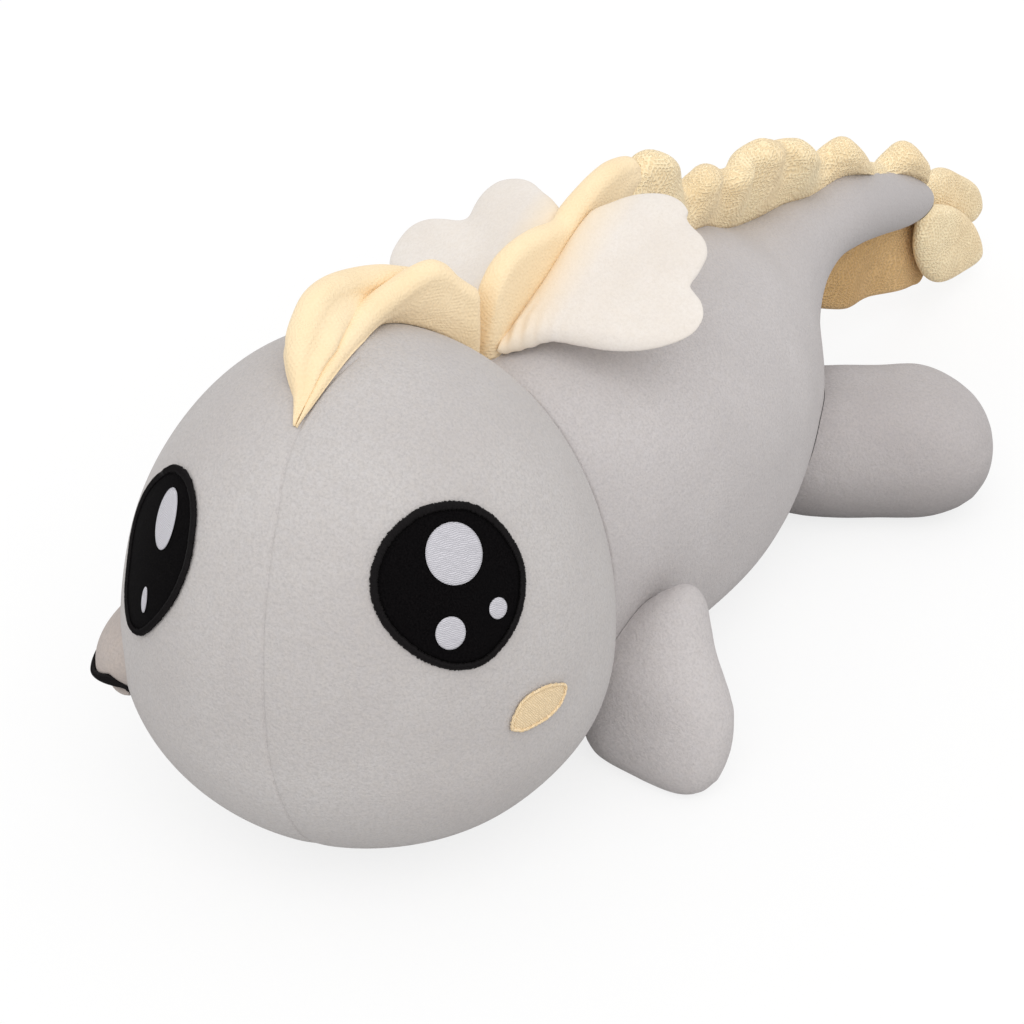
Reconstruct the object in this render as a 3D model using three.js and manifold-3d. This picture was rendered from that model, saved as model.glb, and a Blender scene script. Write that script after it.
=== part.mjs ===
// Plush dragon lying on its belly: sewn fabric panels around loose fibre filling.
// Millimetres, +Z up. The dragon looks along -Y, its left side is +X, and the origin
// is on the flat of the belly where it rests.

import * as THREE from "three";
import Module from "manifold-3d";

const wasm = await Module();
wasm.setup();

// Cloth and clearances
const clothThickness = 1.8;
const seamGap = 0.35;
const jointGap = 0.8;
const pocketGap = 1.1; // around the root of a limb that moves
const floorDepth = 4; // how far the soft forms would reach below the floor that flattens them

// Head, a round form about an upright axis, so that it turns in the neck
const headRadius = 100;
const headCrown = 132; // from the widest level up to the top
const headWaist = 74; // height of the widest level
const headForward = 140; // from the origin to the upright axis
const crownFullness = 2.1;
const jowlFullness = 2.02;
const faceTurn = 11; // degrees from straight ahead to the dragon's left

// Body
const bodyHalfWidth = 82;
const bodyHeight = 168;
const bellyFullness = 2.8;
const bellySeamHeight = 40;

const bodyLength = 326;
const chestPlace = -118; // the front of the chest, under the head

// Sections from the chest to the rump: place as a share of the body's length, then half
// width, top and underside as shares of the body's half width and height
const bodySections = [
  [0, 0.52, 0.62, 0.17],
  [0.043, 0.8, 0.88, 0.02],
  [0.163, 0.91, 0.958, 0],
  [0.301, 0.98, 1, 0],
  [0.469, 1, 0.99, 0],
  [0.601, 0.89, 0.92, 0],
  [0.699, 0.755, 0.85, 0.005],
  [0.785, 0.575, 0.76, 0.08],
  [0.859, 0.39, 0.722, 0.24],
  [0.933, 0.265, 0.702, 0.38],
  [1, 0.22, 0.669, 0.452],
];

// Tail
const rumpLength = 23; // from the last section back to the tail's joint
const tailJointPlace = chestPlace + bodyLength + rumpLength;
const tailLength = 82.5;
const tailRootRadius = 18;
const tailEndRadius = 12;
const tailRootHeight = 94;
const tailTipHeight = 65;
const tailBend = 5; // how far the tip lies to the dragon's left
const tailSwing = 12; // degrees each way

// Front flippers: drop-shaped, in a plane across the body
const flipperPlace = -58;
const flipperPivotHeight = 60;
const flipperPivotDepth = 9; // inside the flank
const flipperRootRadius = 23;
const flipperLength = 64; // from the pivot out to the corner
const flipperThickness = 46;
const flipperSlant = 24; // degrees that its upper edge lies back
const flipperLift = 18; // degrees

// Hind paddles: rounded, lying on the floor
const paddleFromRump = 52; // forward of the last section
const paddlePlace = chestPlace + bodyLength - paddleFromRump;
const paddlePivotDepth = 2;
const paddleRootRadius = 25;
const paddleLength = 89;
const paddleWidth = 84;
const paddleThickness = 69;
const paddleSwing = 10; // degrees each way

// Wings: a scalloped flap, sewn along its root line beside the crest
const wingThickness = 9;
const wingHingeDepth = 3; // from the root's edge to the line that it flaps about
const wingReach = { left: 67, right: 76 };
const wingLength = { left: 97, right: 89 };
const wingClimb = 26.5; // degrees that the root line rises towards the tail
const wingDroop = { left: 5, right: 21 }; // degrees

// Crest: a padded fin along the back, higher in the middle of each scallop.
// Scallops: where each ends as a share of the stretch, then the shares of the crest's
// height at its peak and its end
const crestThickness = 14;
const crestHeight = 48;
const crestSink = 10; // how deep the fin's foot would reach into the body it is sewn to
const crestWave = 0.13; // sideways lean of the wavy stretches
const crestWaveLength = 52;
const neckCrestLength = 115;
const neckScallops = [[0.42, 0.9, 0.75], [1, 1, 0.8]];
const backScallops = [[0.18, 0.92, 0.44], [0.5, 0.63, 0.5], [1, 0.72, 0.36]];
const tailScallops = [[0.51, 0.42, 0.16], [1, 0.24, 0.05]];
const headFoldHeight = 36;

// Fins at the tail
const keelThickness = 10;
const keelFrontHeight = 50;
const keelRearHeight = 8;
const lobeLength = 72;
const lobeThickness = 12;

// Face: directions from the head's centre, half sizes across and up
const leftEyeSize = [29.4, 29.2];
const rightEyeSize = [24.5, 33];
const eyeBorder = 3;
const patchThickness = 0.8;
const leftEyePlace = new THREE.Vector3(0.647, -0.374, 0.666);
const rightEyePlace = new THREE.Vector3(-0.432, -0.703, 0.576);
const leftGlints = [[3, 11.6, 9.7, 9.8], [-3.5, -13.2, 5.4, 5.8], [15.6, -9, 3.7, 3.7]];
const rightGlints = [[1, 16.5, 7.4, 9.6], [5, -15.6, 3, 6]];
const cheekPlace = new THREE.Vector3(0.957, -0.197, 0.18);
const cheekSize = [15, 8];
const cheekTilt = 10; // degrees
const snoutPlace = new THREE.Vector3(-0.75, -0.66, -0.01);
const snoutSize = [24, 18];
const snoutDepth = 10;
const mouthWidth = 4.5;
const mouthHalfLength = 17;
const lipSize = [13, 6];
const lipDepth = 5;

const colours = {
  grey: 0xc3bdbd,
  cream: 0xf8e3bb,
  white: 0xece6e0,
  black: 0x0e0c0d,
  lilac: 0xcecdd2,
  pink: 0xbbb2ad,
  fibre: 0xf2f0ec,
};

// Directions
const left = new THREE.Vector3(1, 0, 0);
const tailward = new THREE.Vector3(0, 1, 0);
const up = new THREE.Vector3(0, 0, 1);
const toRadians = THREE.MathUtils.degToRad;
const mix = THREE.MathUtils.lerp;

// Solids from points and faces, with their faces pointing out
function solidFrom(points, faces) {
  const vertProperties = new Float32Array(points.flatMap((p) => [p.x, p.y, p.z]));
  const build = (list) =>
    new wasm.Manifold(new wasm.Mesh({ numProp: 3, vertProperties, triVerts: new Uint32Array(list.flat()) }));
  const made = build(faces);
  return made.volume() > 0 ? made : build(faces.map(([a, b, c]) => [a, c, b]));
}

// Two triangles between each pair of neighbouring points on two rings
function bandFaces(at, count, ring, next) {
  const faces = [];
  for (let i = 0; i < count; i++) {
    faces.push([at(ring, i), at(ring, i + 1), at(next, i + 1)]);
    faces.push([at(ring, i), at(next, i + 1), at(next, i)]);
  }
  return faces;
}

// Rings of points, closed by a tip at each end
function solidFromRings(rings, startTip, endTip) {
  const count = rings[0].length;
  const points = [startTip, ...rings.flat(), endTip];
  const last = points.length - 1;
  const at = (ring, i) => 1 + ring * count + (i % count);
  const faces = [];
  for (let i = 0; i < count; i++) {
    faces.push([0, at(0, i + 1), at(0, i)]);
    faces.push([last, at(rings.length - 1, i), at(rings.length - 1, i + 1)]);
  }
  for (let ring = 0; ring + 1 < rings.length; ring++) {
    faces.push(...bandFaces(at, count, ring, ring + 1));
  }
  return solidFrom(points, faces);
}

// Rings of points that close on themselves, like a hoop
function solidFromHoop(rings) {
  const count = rings[0].length;
  const at = (ring, i) => ring * count + (i % count);
  const faces = rings.flatMap((_, ring) => bandFaces(at, count, ring, (ring + 1) % rings.length));
  return solidFrom(rings.flat(), faces);
}

function solidFromGeometry(geometry) {
  const position = geometry.getAttribute("position");
  const seen = new Map();
  const points = [];
  const corners = [];
  const order = geometry.index ? [...geometry.index.array] : [...Array(position.count).keys()];
  for (const i of order) {
    const p = new THREE.Vector3().fromBufferAttribute(position, i);
    const key = [p.x, p.y, p.z].map((v) => Math.round(v * 1e4)).join(" ");
    if (!seen.has(key)) seen.set(key, points.push(p) - 1);
    corners.push(seen.get(key));
  }
  const faces = [];
  for (let i = 0; i < corners.length; i += 3) {
    const face = corners.slice(i, i + 3);
    if (new Set(face).size === 3) faces.push(face);
  }
  return solidFrom(points, faces);
}

const far = 600;

function boxBetween(low, high) {
  const size = high.map((v, i) => v - low[i]);
  const box = new THREE.BoxGeometry(...size);
  box.translate(...low.map((v, i) => v + size[i] / 2));
  return solidFromGeometry(box);
}

const above = (height) => boxBetween([-far, -far, height], [far, far, far]);

function post(radius, x, y) {
  const cylinder = new THREE.CylinderGeometry(radius, radius, far, 48);
  cylinder.rotateX(Math.PI / 2);
  cylinder.translate(x, y, 0);
  return solidFromGeometry(cylinder);
}

function turned(solid, degrees, axis, point) {
  const matrix = new THREE.Matrix4()
    .makeTranslation(point)
    .multiply(new THREE.Matrix4().makeRotationAxis(axis, toRadians(degrees)))
    .multiply(new THREE.Matrix4().makeTranslation(point.clone().negate()));
  return solid.transform(matrix.elements);
}

const mirrored = (solid) => solid.transform(new THREE.Matrix4().makeScale(-1, 1, 1).elements);
const asIs = (solid) => solid;
const bothSides = [["left", asIs], ["right", mirrored]];

// A solid drawn in a plane, put where it belongs
function placed(solid, origin, across, along) {
  const normal = new THREE.Vector3().crossVectors(across, along);
  const matrix = new THREE.Matrix4().makeBasis(across, along, normal);
  return solid.transform(matrix.setPosition(origin).elements);
}

// The two halves of a solid beside a plane, a seam's width apart
function halves(solid, normal, point) {
  const upright = Math.abs(normal.z) > 0.9 ? left : up;
  const across = new THREE.Vector3().crossVectors(upright, normal).normalize();
  const along = new THREE.Vector3().crossVectors(normal, across);
  const front = boxBetween([-far, -far, seamGap / 2], [far, far, far]);
  const back = boxBetween([-far, -far, -far], [far, far, -seamGap / 2]);
  return [front, back].map((half) => solid.intersect(placed(half, point, across, along)));
}

// A smooth value through [place, value] pairs
function smoothThrough(pairs) {
  const slope = pairs.map((_, i) => {
    const a = pairs[Math.max(i - 1, 0)];
    const b = pairs[Math.min(i + 1, pairs.length - 1)];
    return (b[1] - a[1]) / (b[0] - a[0]);
  });
  return (x) => {
    let i = 0;
    while (i < pairs.length - 2 && x > pairs[i + 1][0]) i++;
    const [[x0, y0], [x1, y1]] = [pairs[i], pairs[i + 1]];
    const span = x1 - x0;
    const t = THREE.MathUtils.clamp((x - x0) / span, 0, 1);
    const bend = slope[i] * span * t * (1 - t) ** 2 - slope[i + 1] * span * t * t * (1 - t);
    return mix(y0, y1, t * t * (3 - 2 * t)) + bend;
  };
}

// A smooth closed outline through hand-placed points, about a chosen middle
function closedOutline(points, middle, count) {
  const route = points.map(([x, y]) => new THREE.Vector3(x - middle[0], y - middle[1], 0));
  const curve = new THREE.CatmullRomCurve3(route, true, "centripetal");
  return curve.getSpacedPoints(count).slice(0, count);
}

const power = (value, exponent) => Math.sign(value) * Math.abs(value) ** exponent;

// Head
const headCentre = new THREE.Vector3(0, -headForward, headWaist);

const crown = { fullness: crownFullness, reach: headCrown };
const jowl = { fullness: jowlFullness, reach: headWaist + floorDepth };

function headBody(inset) {
  const steps = inset > 0 ? 9 : 12;
  const around = inset > 0 ? 18 : 32;
  const profile = [];
  for (let i = 0; i <= steps; i++) {
    const angle = Math.PI * (i / steps - 0.5);
    const { fullness, reach } = angle > 0 ? crown : jowl;
    const radius = i % steps ? (headRadius - inset) * Math.cos(angle) ** (2 / fullness) : 0;
    profile.push(new THREE.Vector2(radius, (reach - inset) * power(Math.sin(angle), 2 / fullness)));
  }
  const form = new THREE.LatheGeometry(profile, around);
  form.rotateX(Math.PI / 2);
  form.translate(...headCentre);
  return solidFromGeometry(form).intersect(above(inset));
}

// The point over the head's surface along a direction from its centre
function onHead(direction, lift) {
  const unit = direction.clone().normalize();
  const { fullness, reach } = unit.z > 0 ? crown : jowl;
  const level = (Math.hypot(unit.x, unit.y) / headRadius) ** fullness;
  const distance = (level + (Math.abs(unit.z) / reach) ** fullness) ** (-1 / fullness);
  return headCentre.clone().addScaledVector(unit, distance + lift);
}

// Places on the head, a way across and up from a direction
function headMap(place) {
  const out = place.clone().normalize();
  const across = new THREE.Vector3().crossVectors(up, out).normalize();
  const rise = new THREE.Vector3().crossVectors(out, across);
  return (a, b, lift) => {
    const sideways = out.clone().addScaledVector(across, a / headRadius);
    return onHead(sideways.addScaledVector(rise, b / headRadius), lift);
  };
}

function ellipse([a, b], tilt, count) {
  return [...Array(count).keys()].map((i) => {
    const angle = (2 * Math.PI * i) / count;
    const point = new THREE.Vector2(a * Math.cos(angle), b * Math.sin(angle));
    return point.rotateAround(new THREE.Vector2(), tilt);
  });
}

// A patch that follows the head, with its top at a lift that varies from middle to rim
function headPatch(map, [x, y], outline, low, highAt, rings) {
  const layer = (reach, lift) => outline.map((p) => map(x + p.x * reach, y + p.y * reach, lift));
  const levels = [...Array(rings).keys()].map((k) => (k + 1) / rings);
  const under = levels.map((reach) => layer(reach, low));
  const over = levels.map((reach) => layer(reach, highAt(reach))).reverse();
  return solidFromRings([...under, ...over], map(x, y, low), map(x, y, highAt(0)));
}

function headHoop(map, outline, width, low, high) {
  const layer = (by, lift) =>
    outline.map((p) => map(p.x * (1 - by / p.length()), p.y * (1 - by / p.length()), lift));
  return solidFromHoop([layer(width, low), layer(0, low), layer(width / 4, high), layer(width * 0.75, high)]);
}

// Trunk and tail in one form, later parted at the neck and at the tail's root
function trunkSections() {
  const body = bodySections.map(([share, width, top, underside]) => [
    chestPlace + share * bodyLength,
    width * bodyHalfWidth,
    top * bodyHeight,
    underside > 0 ? underside * bodyHeight : -floorDepth,
    0,
  ]);
  const tail = [0, 0.28, 0.56, 0.78, 0.92].map((t) => {
    const radius = mix(tailRootRadius, tailEndRadius, t) * Math.sqrt(1 - t ** 6);
    const middle = mix(tailRootHeight, tailTipHeight, t ** 1.1);
    return [tailJointPlace + tailLength * t, radius, middle + radius, middle - radius, tailBend * t * t];
  });
  return [...body, ...tail];
}

const column = (k) => smoothThrough(trunkSections().map((row) => [row[0], row[k]]));
const trunkHalfWidth = column(1);
const trunkTop = column(2);
const trunkUnderside = column(3);
const trunkSideways = column(4);
const tailTip = new THREE.Vector3(tailBend, tailJointPlace + tailLength, tailTipHeight);

function trunkRing(place, inset, count) {
  const top = trunkTop(place) - inset;
  const underside = trunkUnderside(place) + inset;
  const onFloor = THREE.MathUtils.clamp((floorDepth - underside) / (2 * floorDepth), 0, 1);
  const ring = [];
  for (let i = 0; i < count; i++) {
    const angle = (2 * Math.PI * i) / count;
    const bend = Math.sin(angle) < 0 ? 2 / mix(2, bellyFullness, onFloor) : 1;
    const x = (trunkHalfWidth(place) - inset) * power(Math.cos(angle), bend);
    const z = mix(underside, top, 0.5 + 0.5 * power(Math.sin(angle), bend));
    ring.push(new THREE.Vector3(trunkSideways(place) + x, place, z));
  }
  return ring;
}

function trunkBody(inset) {
  const places = trunkSections().map(([place]) => place);
  const roundingFrom = places.at(-3);
  const around = inset > 0 ? 14 : 22;
  const rings = places.map((place) => trunkRing(place - (place > roundingFrom ? inset : 0), inset, around));
  const front = new THREE.Vector3(0, places[0], headWaist);
  const tip = tailTip.clone().addScaledVector(tailward, -inset);
  return solidFromRings(rings, front, tip).intersect(above(inset));
}

// The upright cut between trunk and tail, seen from above: round in front, with both
// flanks swept back by the tail's swing where it clears the trunk
const tailJointRadius = tailRootRadius + 1;

function tailCut(radius, flare) {
  const shape = new THREE.Shape();
  const slope = toRadians(flare);
  const flank = tailJointPlace - far * Math.tan(slope);
  shape.moveTo(-far, flank);
  shape.absarc(0, tailJointPlace, radius, Math.PI + slope, 2 * Math.PI - slope, false);
  shape.lineTo(far, flank);
  shape.lineTo(far, far);
  shape.lineTo(-far, far);
  shape.closePath();
  const prism = new THREE.ExtrudeGeometry(shape, { depth: far, bevelEnabled: false, curveSegments: 10 });
  return solidFromGeometry(prism);
}

// A stuffed pad: an outline swollen to both sides of its plane
function pad(outline, halfThickness, inset, fullness) {
  const flat = fullness > 3;
  const levels = flat ? [0.84, 1] : inset > 0 ? [0.6, 0.88, 1] : [0.5, 0.8, 0.95, 1];
  const layer = (reach, side) =>
    outline.map((p) => {
      const kept = (1 - inset / p.length()) * reach;
      const swell = (halfThickness - inset) * Math.sqrt(1 - reach ** fullness);
      return new THREE.Vector3(p.x * kept, p.y * kept, side * swell);
    });
  const over = levels.map((reach) => layer(reach, 1));
  const under = levels.slice(0, -1).map((reach) => layer(reach, -1));
  const tip = (side) => new THREE.Vector3(0, 0, side * (halfThickness - inset));
  return solidFromRings([...over, ...under.reverse()], tip(1), tip(-1));
}

// Left front flipper, in an upright plane that slants back
const flipperPivot = new THREE.Vector3(
  trunkHalfWidth(flipperPlace) - flipperPivotDepth,
  flipperPlace,
  flipperPivotHeight,
);
const flipperMiddle = new THREE.Vector3(
  flipperPivot.x + flipperLength * 0.33,
  flipperPlace - flipperThickness * 0.09,
  flipperPivotHeight * 0.6,
);
const flipperUp = up.clone().applyAxisAngle(left, -toRadians(flipperSlant));

function flipperBody(inset) {
  const { x, z } = flipperPivot;
  const root = flipperRootRadius;
  const reach = x + flipperLength;
  const points = [
    [x - root * 0.7, z + root * 0.7],
    [x, z + root * 0.9],
    [x + root * 1.3, z + root * 0.75],
    [reach - flipperLength * 0.21, z * 0.92],
    [reach - flipperLength * 0.05, z * 0.6],
    [reach, z * 0.3],
    [reach - flipperLength * 0.07, z * 0.06],
    [reach - flipperLength * 0.24, -floorDepth * 0.8],
    [x + root, -floorDepth],
    [x, 0],
    [x - root * 0.75, z * 0.45],
    [x - root, z],
  ];
  const inPlane = points.map(([across, height]) => [across, (height - flipperMiddle.z) / flipperUp.z]);
  const outline = closedOutline(inPlane, [flipperMiddle.x, 0], inset > 0 ? 12 : 16);
  const body = pad(outline, flipperThickness / 2, inset, 2.8);
  return placed(body, flipperMiddle, left, flipperUp).intersect(above(inset));
}

// Left hind paddle, lying on the floor in the plane x and y
const paddlePivot = new THREE.Vector3(trunkHalfWidth(paddlePlace) - paddlePivotDepth, paddlePlace, 0);
const paddleMiddle = new THREE.Vector3(
  paddlePivot.x + paddleLength * 0.45,
  paddlePlace,
  paddleThickness / 2 - floorDepth,
);

function paddleBody(inset) {
  const { x, y } = paddlePivot;
  const root = paddleRootRadius;
  const half = paddleWidth / 2;
  const reach = x + paddleLength;
  const points = [
    [x - root * 0.7, y + root * 0.7],
    [x + root * 0.3, y + half * 0.8],
    [x + paddleLength * 0.5, y + half],
    [reach - paddleLength * 0.18, y + half * 0.85],
    [reach, y + half * 0.28],
    [reach - paddleLength * 0.06, y - half * 0.3],
    [reach - paddleLength * 0.33, y - half * 0.72],
    [x + root, y - half * 0.95],
    [x, y - half * 0.9],
    [x - root * 0.75, y - root * 0.7],
    [x - root, y],
  ];
  const outline = closedOutline(points, [paddleMiddle.x, paddleMiddle.y], inset > 0 ? 12 : 16);
  const body = pad(outline, paddleThickness / 2, inset, 2.6);
  return placed(body, paddleMiddle, left, tailward).intersect(above(inset));
}

// Crest: a rounded fin along stations that each have a foot, a rise, a side and a height
const finStep = 12;
const finSection = [[-1, 0], [-0.94, 0.68], [0, 1], [0.94, 0.68], [1, 0]];

function finBody(stationAt, from, to, inset) {
  const count = Math.max(Math.round((to - from) / finStep), 3);
  const rings = [...Array(count + 1).keys()].map((i) => {
    const edge = i === 0 ? inset : i === count ? -inset : 0;
    const { foot, rise, side, height, half } = stationAt(mix(from, to, i / count) + edge);
    return finSection.map(([a, b]) =>
      foot
        .clone()
        .addScaledVector(side, a * Math.max(half - inset, 0.5))
        .addScaledVector(rise, b ? b * Math.max(height - inset, 1) : -Math.abs(inset)),
    );
  });
  const middle = (ring) => ring.reduce((sum, p) => sum.add(p), new THREE.Vector3()).divideScalar(ring.length);
  return solidFromRings(rings, middle(rings[0]), middle(rings.at(-1)));
}

// Height of a scalloped edge at a share of its stretch, as a share of the crest's height
function scallopHeight(scallops, start, share) {
  let from = 0;
  let notch = start;
  for (const [to, peak, end] of scallops) {
    if (share <= to) {
      const t = (share - from) / (to - from);
      const low = mix(notch, end, t);
      return low + (peak - low) * Math.sin(Math.PI * t) ** 0.8;
    }
    from = to;
    notch = end;
  }
  return notch;
}

// The three stretches of the crest on trunk and tail
const neckRadius = headRadius * 0.79; // from the head's axis to where its crest meets the neck's
const neckPlace = neckRadius - headForward;
const crestBreak = neckPlace + neckCrestLength;
const tailCrestPlace = tailJointPlace - tailJointRadius;
const crestHalf = crestThickness / 2;
const lastNotch = (scallops) => scallops.at(-1)[2];

function trunkCrest(scallops, start, from, to, wave) {
  return (place) => {
    const share = THREE.MathUtils.clamp((place - from) / (to - from), 0, 1);
    const lean = wave * Math.sin(((place - crestBreak) * 2 * Math.PI) / crestWaveLength);
    return {
      foot: new THREE.Vector3(trunkSideways(place), place, trunkTop(place) - crestSink),
      rise: new THREE.Vector3(lean, 0, 1).normalize(),
      side: left,
      height: scallopHeight(scallops, start, share) * crestHeight + crestSink,
      half: crestHalf,
    };
  };
}

const neckCrest = [trunkCrest(neckScallops, 0.7, neckPlace, crestBreak, 0), neckPlace, crestBreak];
const backCrestStart = crestBreak + seamGap;
const backCrestEnd = tailCrestPlace - jointGap;
const backCrest = [
  trunkCrest(backScallops, lastNotch(neckScallops), backCrestStart, backCrestEnd, crestWave),
  backCrestStart,
  backCrestEnd,
];
const tailCrestEnd = tailTip.y - tailEndRadius * 0.6;
const tailCrest = [
  trunkCrest(tailScallops, lastNotch(backScallops), tailCrestPlace, tailCrestEnd, crestWave),
  tailCrestPlace,
  tailCrestEnd,
];

// The head's crest in two folds along its top: the front one leans to the dragon's right
function crownHeight(x, y) {
  const level = (Math.hypot(x, y) / headRadius) ** crownFullness;
  return headCrown * (1 - level) ** (1 / crownFullness);
}

function headFold(start, end, bow, lean, shares) {
  const length = Math.hypot(end[0] - start[0], end[1] - start[1]);
  const heightAt = smoothThrough(shares.map(([place, share]) => [place * length, share * headFoldHeight]));
  const station = (place) => {
    const t = THREE.MathUtils.clamp(place / length, 0, 1);
    const x = mix(start[0], end[0], t) - bow * Math.sin(Math.PI * t);
    const y = mix(start[1], end[1], t);
    const rootHeight = crownHeight(x, y) - crestSink / 2;
    return {
      foot: headCentre.clone().add(new THREE.Vector3(x, y, rootHeight)),
      rise: new THREE.Vector3(-lean, 0, 1).normalize(),
      side: new THREE.Vector3(1, 0, lean / 2).normalize(),
      height: heightAt(place) + crestSink / 2,
      half: crestHalf * mix(0.35, 1, Math.min(t / 0.25, 1)),
    };
  };
  return [station, 0, length];
}

const foldStart = -headRadius * 0.4;
const frontFold = headFold(
  [-crestHalf * 0.6, foldStart],
  [-crestHalf * 1.6, headRadius * 0.6],
  crestHalf * 0.5,
  0.6,
  [[0, 0.1], [0.15, 0.5], [0.3, 0.72], [0.55, 0.76], [0.75, 0.78], [1, 0.62]],
);
const rearFold = headFold(
  [-crestHalf * 0.6, foldStart],
  [0, neckRadius],
  crestHalf * 1.1,
  -0.2,
  [[0, 0.08], [0.14, 0.28], [0.25, 0.5], [0.45, 0.6], [0.67, 0.86], [0.85, 1], [1, 0.89]],
);

// Keel: the fin under the tail, down to near the floor
const keelFrom = tailJointPlace - tailRootRadius * 0.7;
const keelTo = tailTip.y + lobeLength * 0.14;
const keelSideways = -5;

function keelStation(place) {
  const t = THREE.MathUtils.clamp((place - keelFrom) / (keelTo - keelFrom), 0, 1);
  const foot = new THREE.Vector3(keelSideways + tailBend * t, place, trunkUnderside(place) + crestSink);
  const height = foot.z - mix(keelRearHeight, keelFrontHeight, (1 - t) ** 1.3);
  return { foot, rise: up.clone().negate(), side: left, height, half: keelThickness / 2 };
}

// The two rounded lobes past the end of the tail, in upright planes
function lobeBody(shares, sideways, forward, rise, inset) {
  const points = shares.map(([y, z]) => [y * lobeLength, z * lobeLength]);
  const body = pad(closedOutline(points, [0, 0], 14), lobeThickness / 2, inset, 4);
  const origin = tailTip.clone().add(new THREE.Vector3(sideways, forward * lobeLength, rise * lobeLength));
  return placed(body, origin, tailward, up);
}

const upperLobeShares = [
  [-0.53, 0.31], [-0.18, 0.31], [0.11, 0.14], [0.42, -0.11], [0.53, -0.36],
  [0.39, -0.42], [0.11, -0.25], [-0.19, -0.06], [-0.5, 0.05],
];
const lowerLobeShares = [
  [-0.45, 0.57], [-0.1, 0.37], [0.22, 0.11], [0.44, -0.19], [0.47, -0.33],
  [0.18, -0.33], [-0.14, -0.28], [-0.36, -0.08], [-0.48, 0.22],
];
const lobeOffset = (lobeThickness + jointGap) / 2;
const upperLobe = (inset) => lobeBody(upperLobeShares, -lobeOffset, 0.5, -0.21, inset);
const lowerLobe = (inset) => lobeBody(lowerLobeShares, lobeOffset, 0.25, -0.52, inset);

// Wings, in the plane of the root line, drawn outwards and tailwards from the root's front
const wingRootHeight = trunkTop(neckPlace) + wingThickness * 0.45;
const wingRoot = new THREE.Vector3(crestHalf + seamGap, neckPlace, wingRootHeight);

// Outline as shares of the wing's reach and length
const wingShares = [
  [0, 0.03], [0.25, 0.15], [0.63, 0.24], [0.9, 0.35], [1.01, 0.48], [0.96, 0.6], [0.82, 0.65],
  [0.82, 0.76], [0.75, 0.87], [0.57, 0.93], [0.5, 1], [0.3, 1], [0.12, 0.91], [0, 0.78],
  [0, 0.4],
];

function wingPlane(side) {
  const climb = toRadians(wingClimb);
  const along = new THREE.Vector3(0, Math.cos(climb), Math.sin(climb));
  return [left.clone().applyAxisAngle(along, toRadians(wingDroop[side])), along];
}

function wingBody(inset, side) {
  const [across, along] = wingPlane(side);
  const reach = wingReach[side];
  const length = wingLength[side];
  const middle = [reach * 0.42, length * 0.5];
  const points = wingShares.map(([a, b]) => [a * reach, b * length]);
  const body = pad(closedOutline(points, middle, 22), wingThickness / 2, inset, 4);
  const origin = wingRoot.clone().addScaledVector(across, middle[0]).addScaledVector(along, middle[1]);
  return placed(body, origin, across, along);
}

// Assembly
const dragon = new THREE.Group();

const biggest = (solid) => solid.decompose().sort((a, b) => b.volume() - a.volume())[0];

function add(name, solid, colour) {
  const mesh = biggest(solid).getMesh();
  const geometry = new THREE.BufferGeometry();
  geometry.setAttribute("position", new THREE.BufferAttribute(mesh.vertProperties, 3));
  geometry.setIndex(new THREE.BufferAttribute(mesh.triVerts, 1));
  geometry.computeVertexNormals();
  const material = new THREE.MeshStandardMaterial({ color: colours[colour], roughness: 0.95, metalness: 0 });
  const piece = new THREE.Mesh(geometry, material);
  piece.name = name;
  dragon.add(piece);
}

// A cover of cloth, open where it is sewn on, and the filling inside it
function coverAndFilling(bodyAt, trim) {
  const cover = trim(bodyAt(0).subtract(bodyAt(clothThickness)));
  const filling = trim(bodyAt(clothThickness + seamGap));
  return { cover, filling };
}

function addHead() {
  const { cover, filling } = coverAndFilling(headBody, asIs);
  const leftOfFace = left.clone().applyAxisAngle(up, toRadians(faceTurn));
  const [leftHalf, rightHalf] = halves(cover, leftOfFace, headCentre);
  add("head_left_panel", leftHalf, "grey");
  add("head_right_panel", rightHalf, "grey");
  add("head_filling", filling, "fibre");
}

// What a limb passes through as it moves, with room around it
function swept(body, angles, axis, point) {
  return angles.map((angle) => turned(body, angle, axis, point)).reduce((all, next) => all.add(next));
}

function addTrunk() {
  const headward = tailward.clone().negate();
  const flipperRoom = swept(flipperBody(-pocketGap), [0, flipperLift], headward, flipperPivot);
  const paddleRoom = swept(paddleBody(-pocketGap), [-paddleSwing, paddleSwing], up, paddlePivot);
  const cuts = [
    headBody(-jointGap),
    tailCut(tailJointRadius + jointGap, tailSwing + 2),
    ...[flipperRoom, paddleRoom].flatMap((room) => [room, mirrored(room)]),
  ];
  const trim = (solid) => cuts.reduce((rest, cut) => rest.subtract(cut), solid);
  const { cover, filling } = coverAndFilling(trunkBody, trim);
  const flanks = cover.intersect(above(bellySeamHeight + seamGap));
  const [leftHalf, rightHalf] = halves(flanks, left, new THREE.Vector3());
  add("trunk_left_panel", leftHalf, "grey");
  add("trunk_right_panel", rightHalf, "grey");
  add("belly_panel", cover.subtract(above(bellySeamHeight)), "grey");
  add("trunk_filling", filling, "fibre");
}

function addTail() {
  const tailOnly = (solid) => solid.intersect(tailCut(tailJointRadius, 0));
  const { cover, filling } = coverAndFilling(trunkBody, tailOnly);
  const [leftHalf, rightHalf] = halves(cover, left, new THREE.Vector3(tailBend / 3, 0, 0));
  add("tail_left_panel", leftHalf, "grey");
  add("tail_right_panel", rightHalf, "grey");
  add("tail_filling", filling, "fibre");
}

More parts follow.
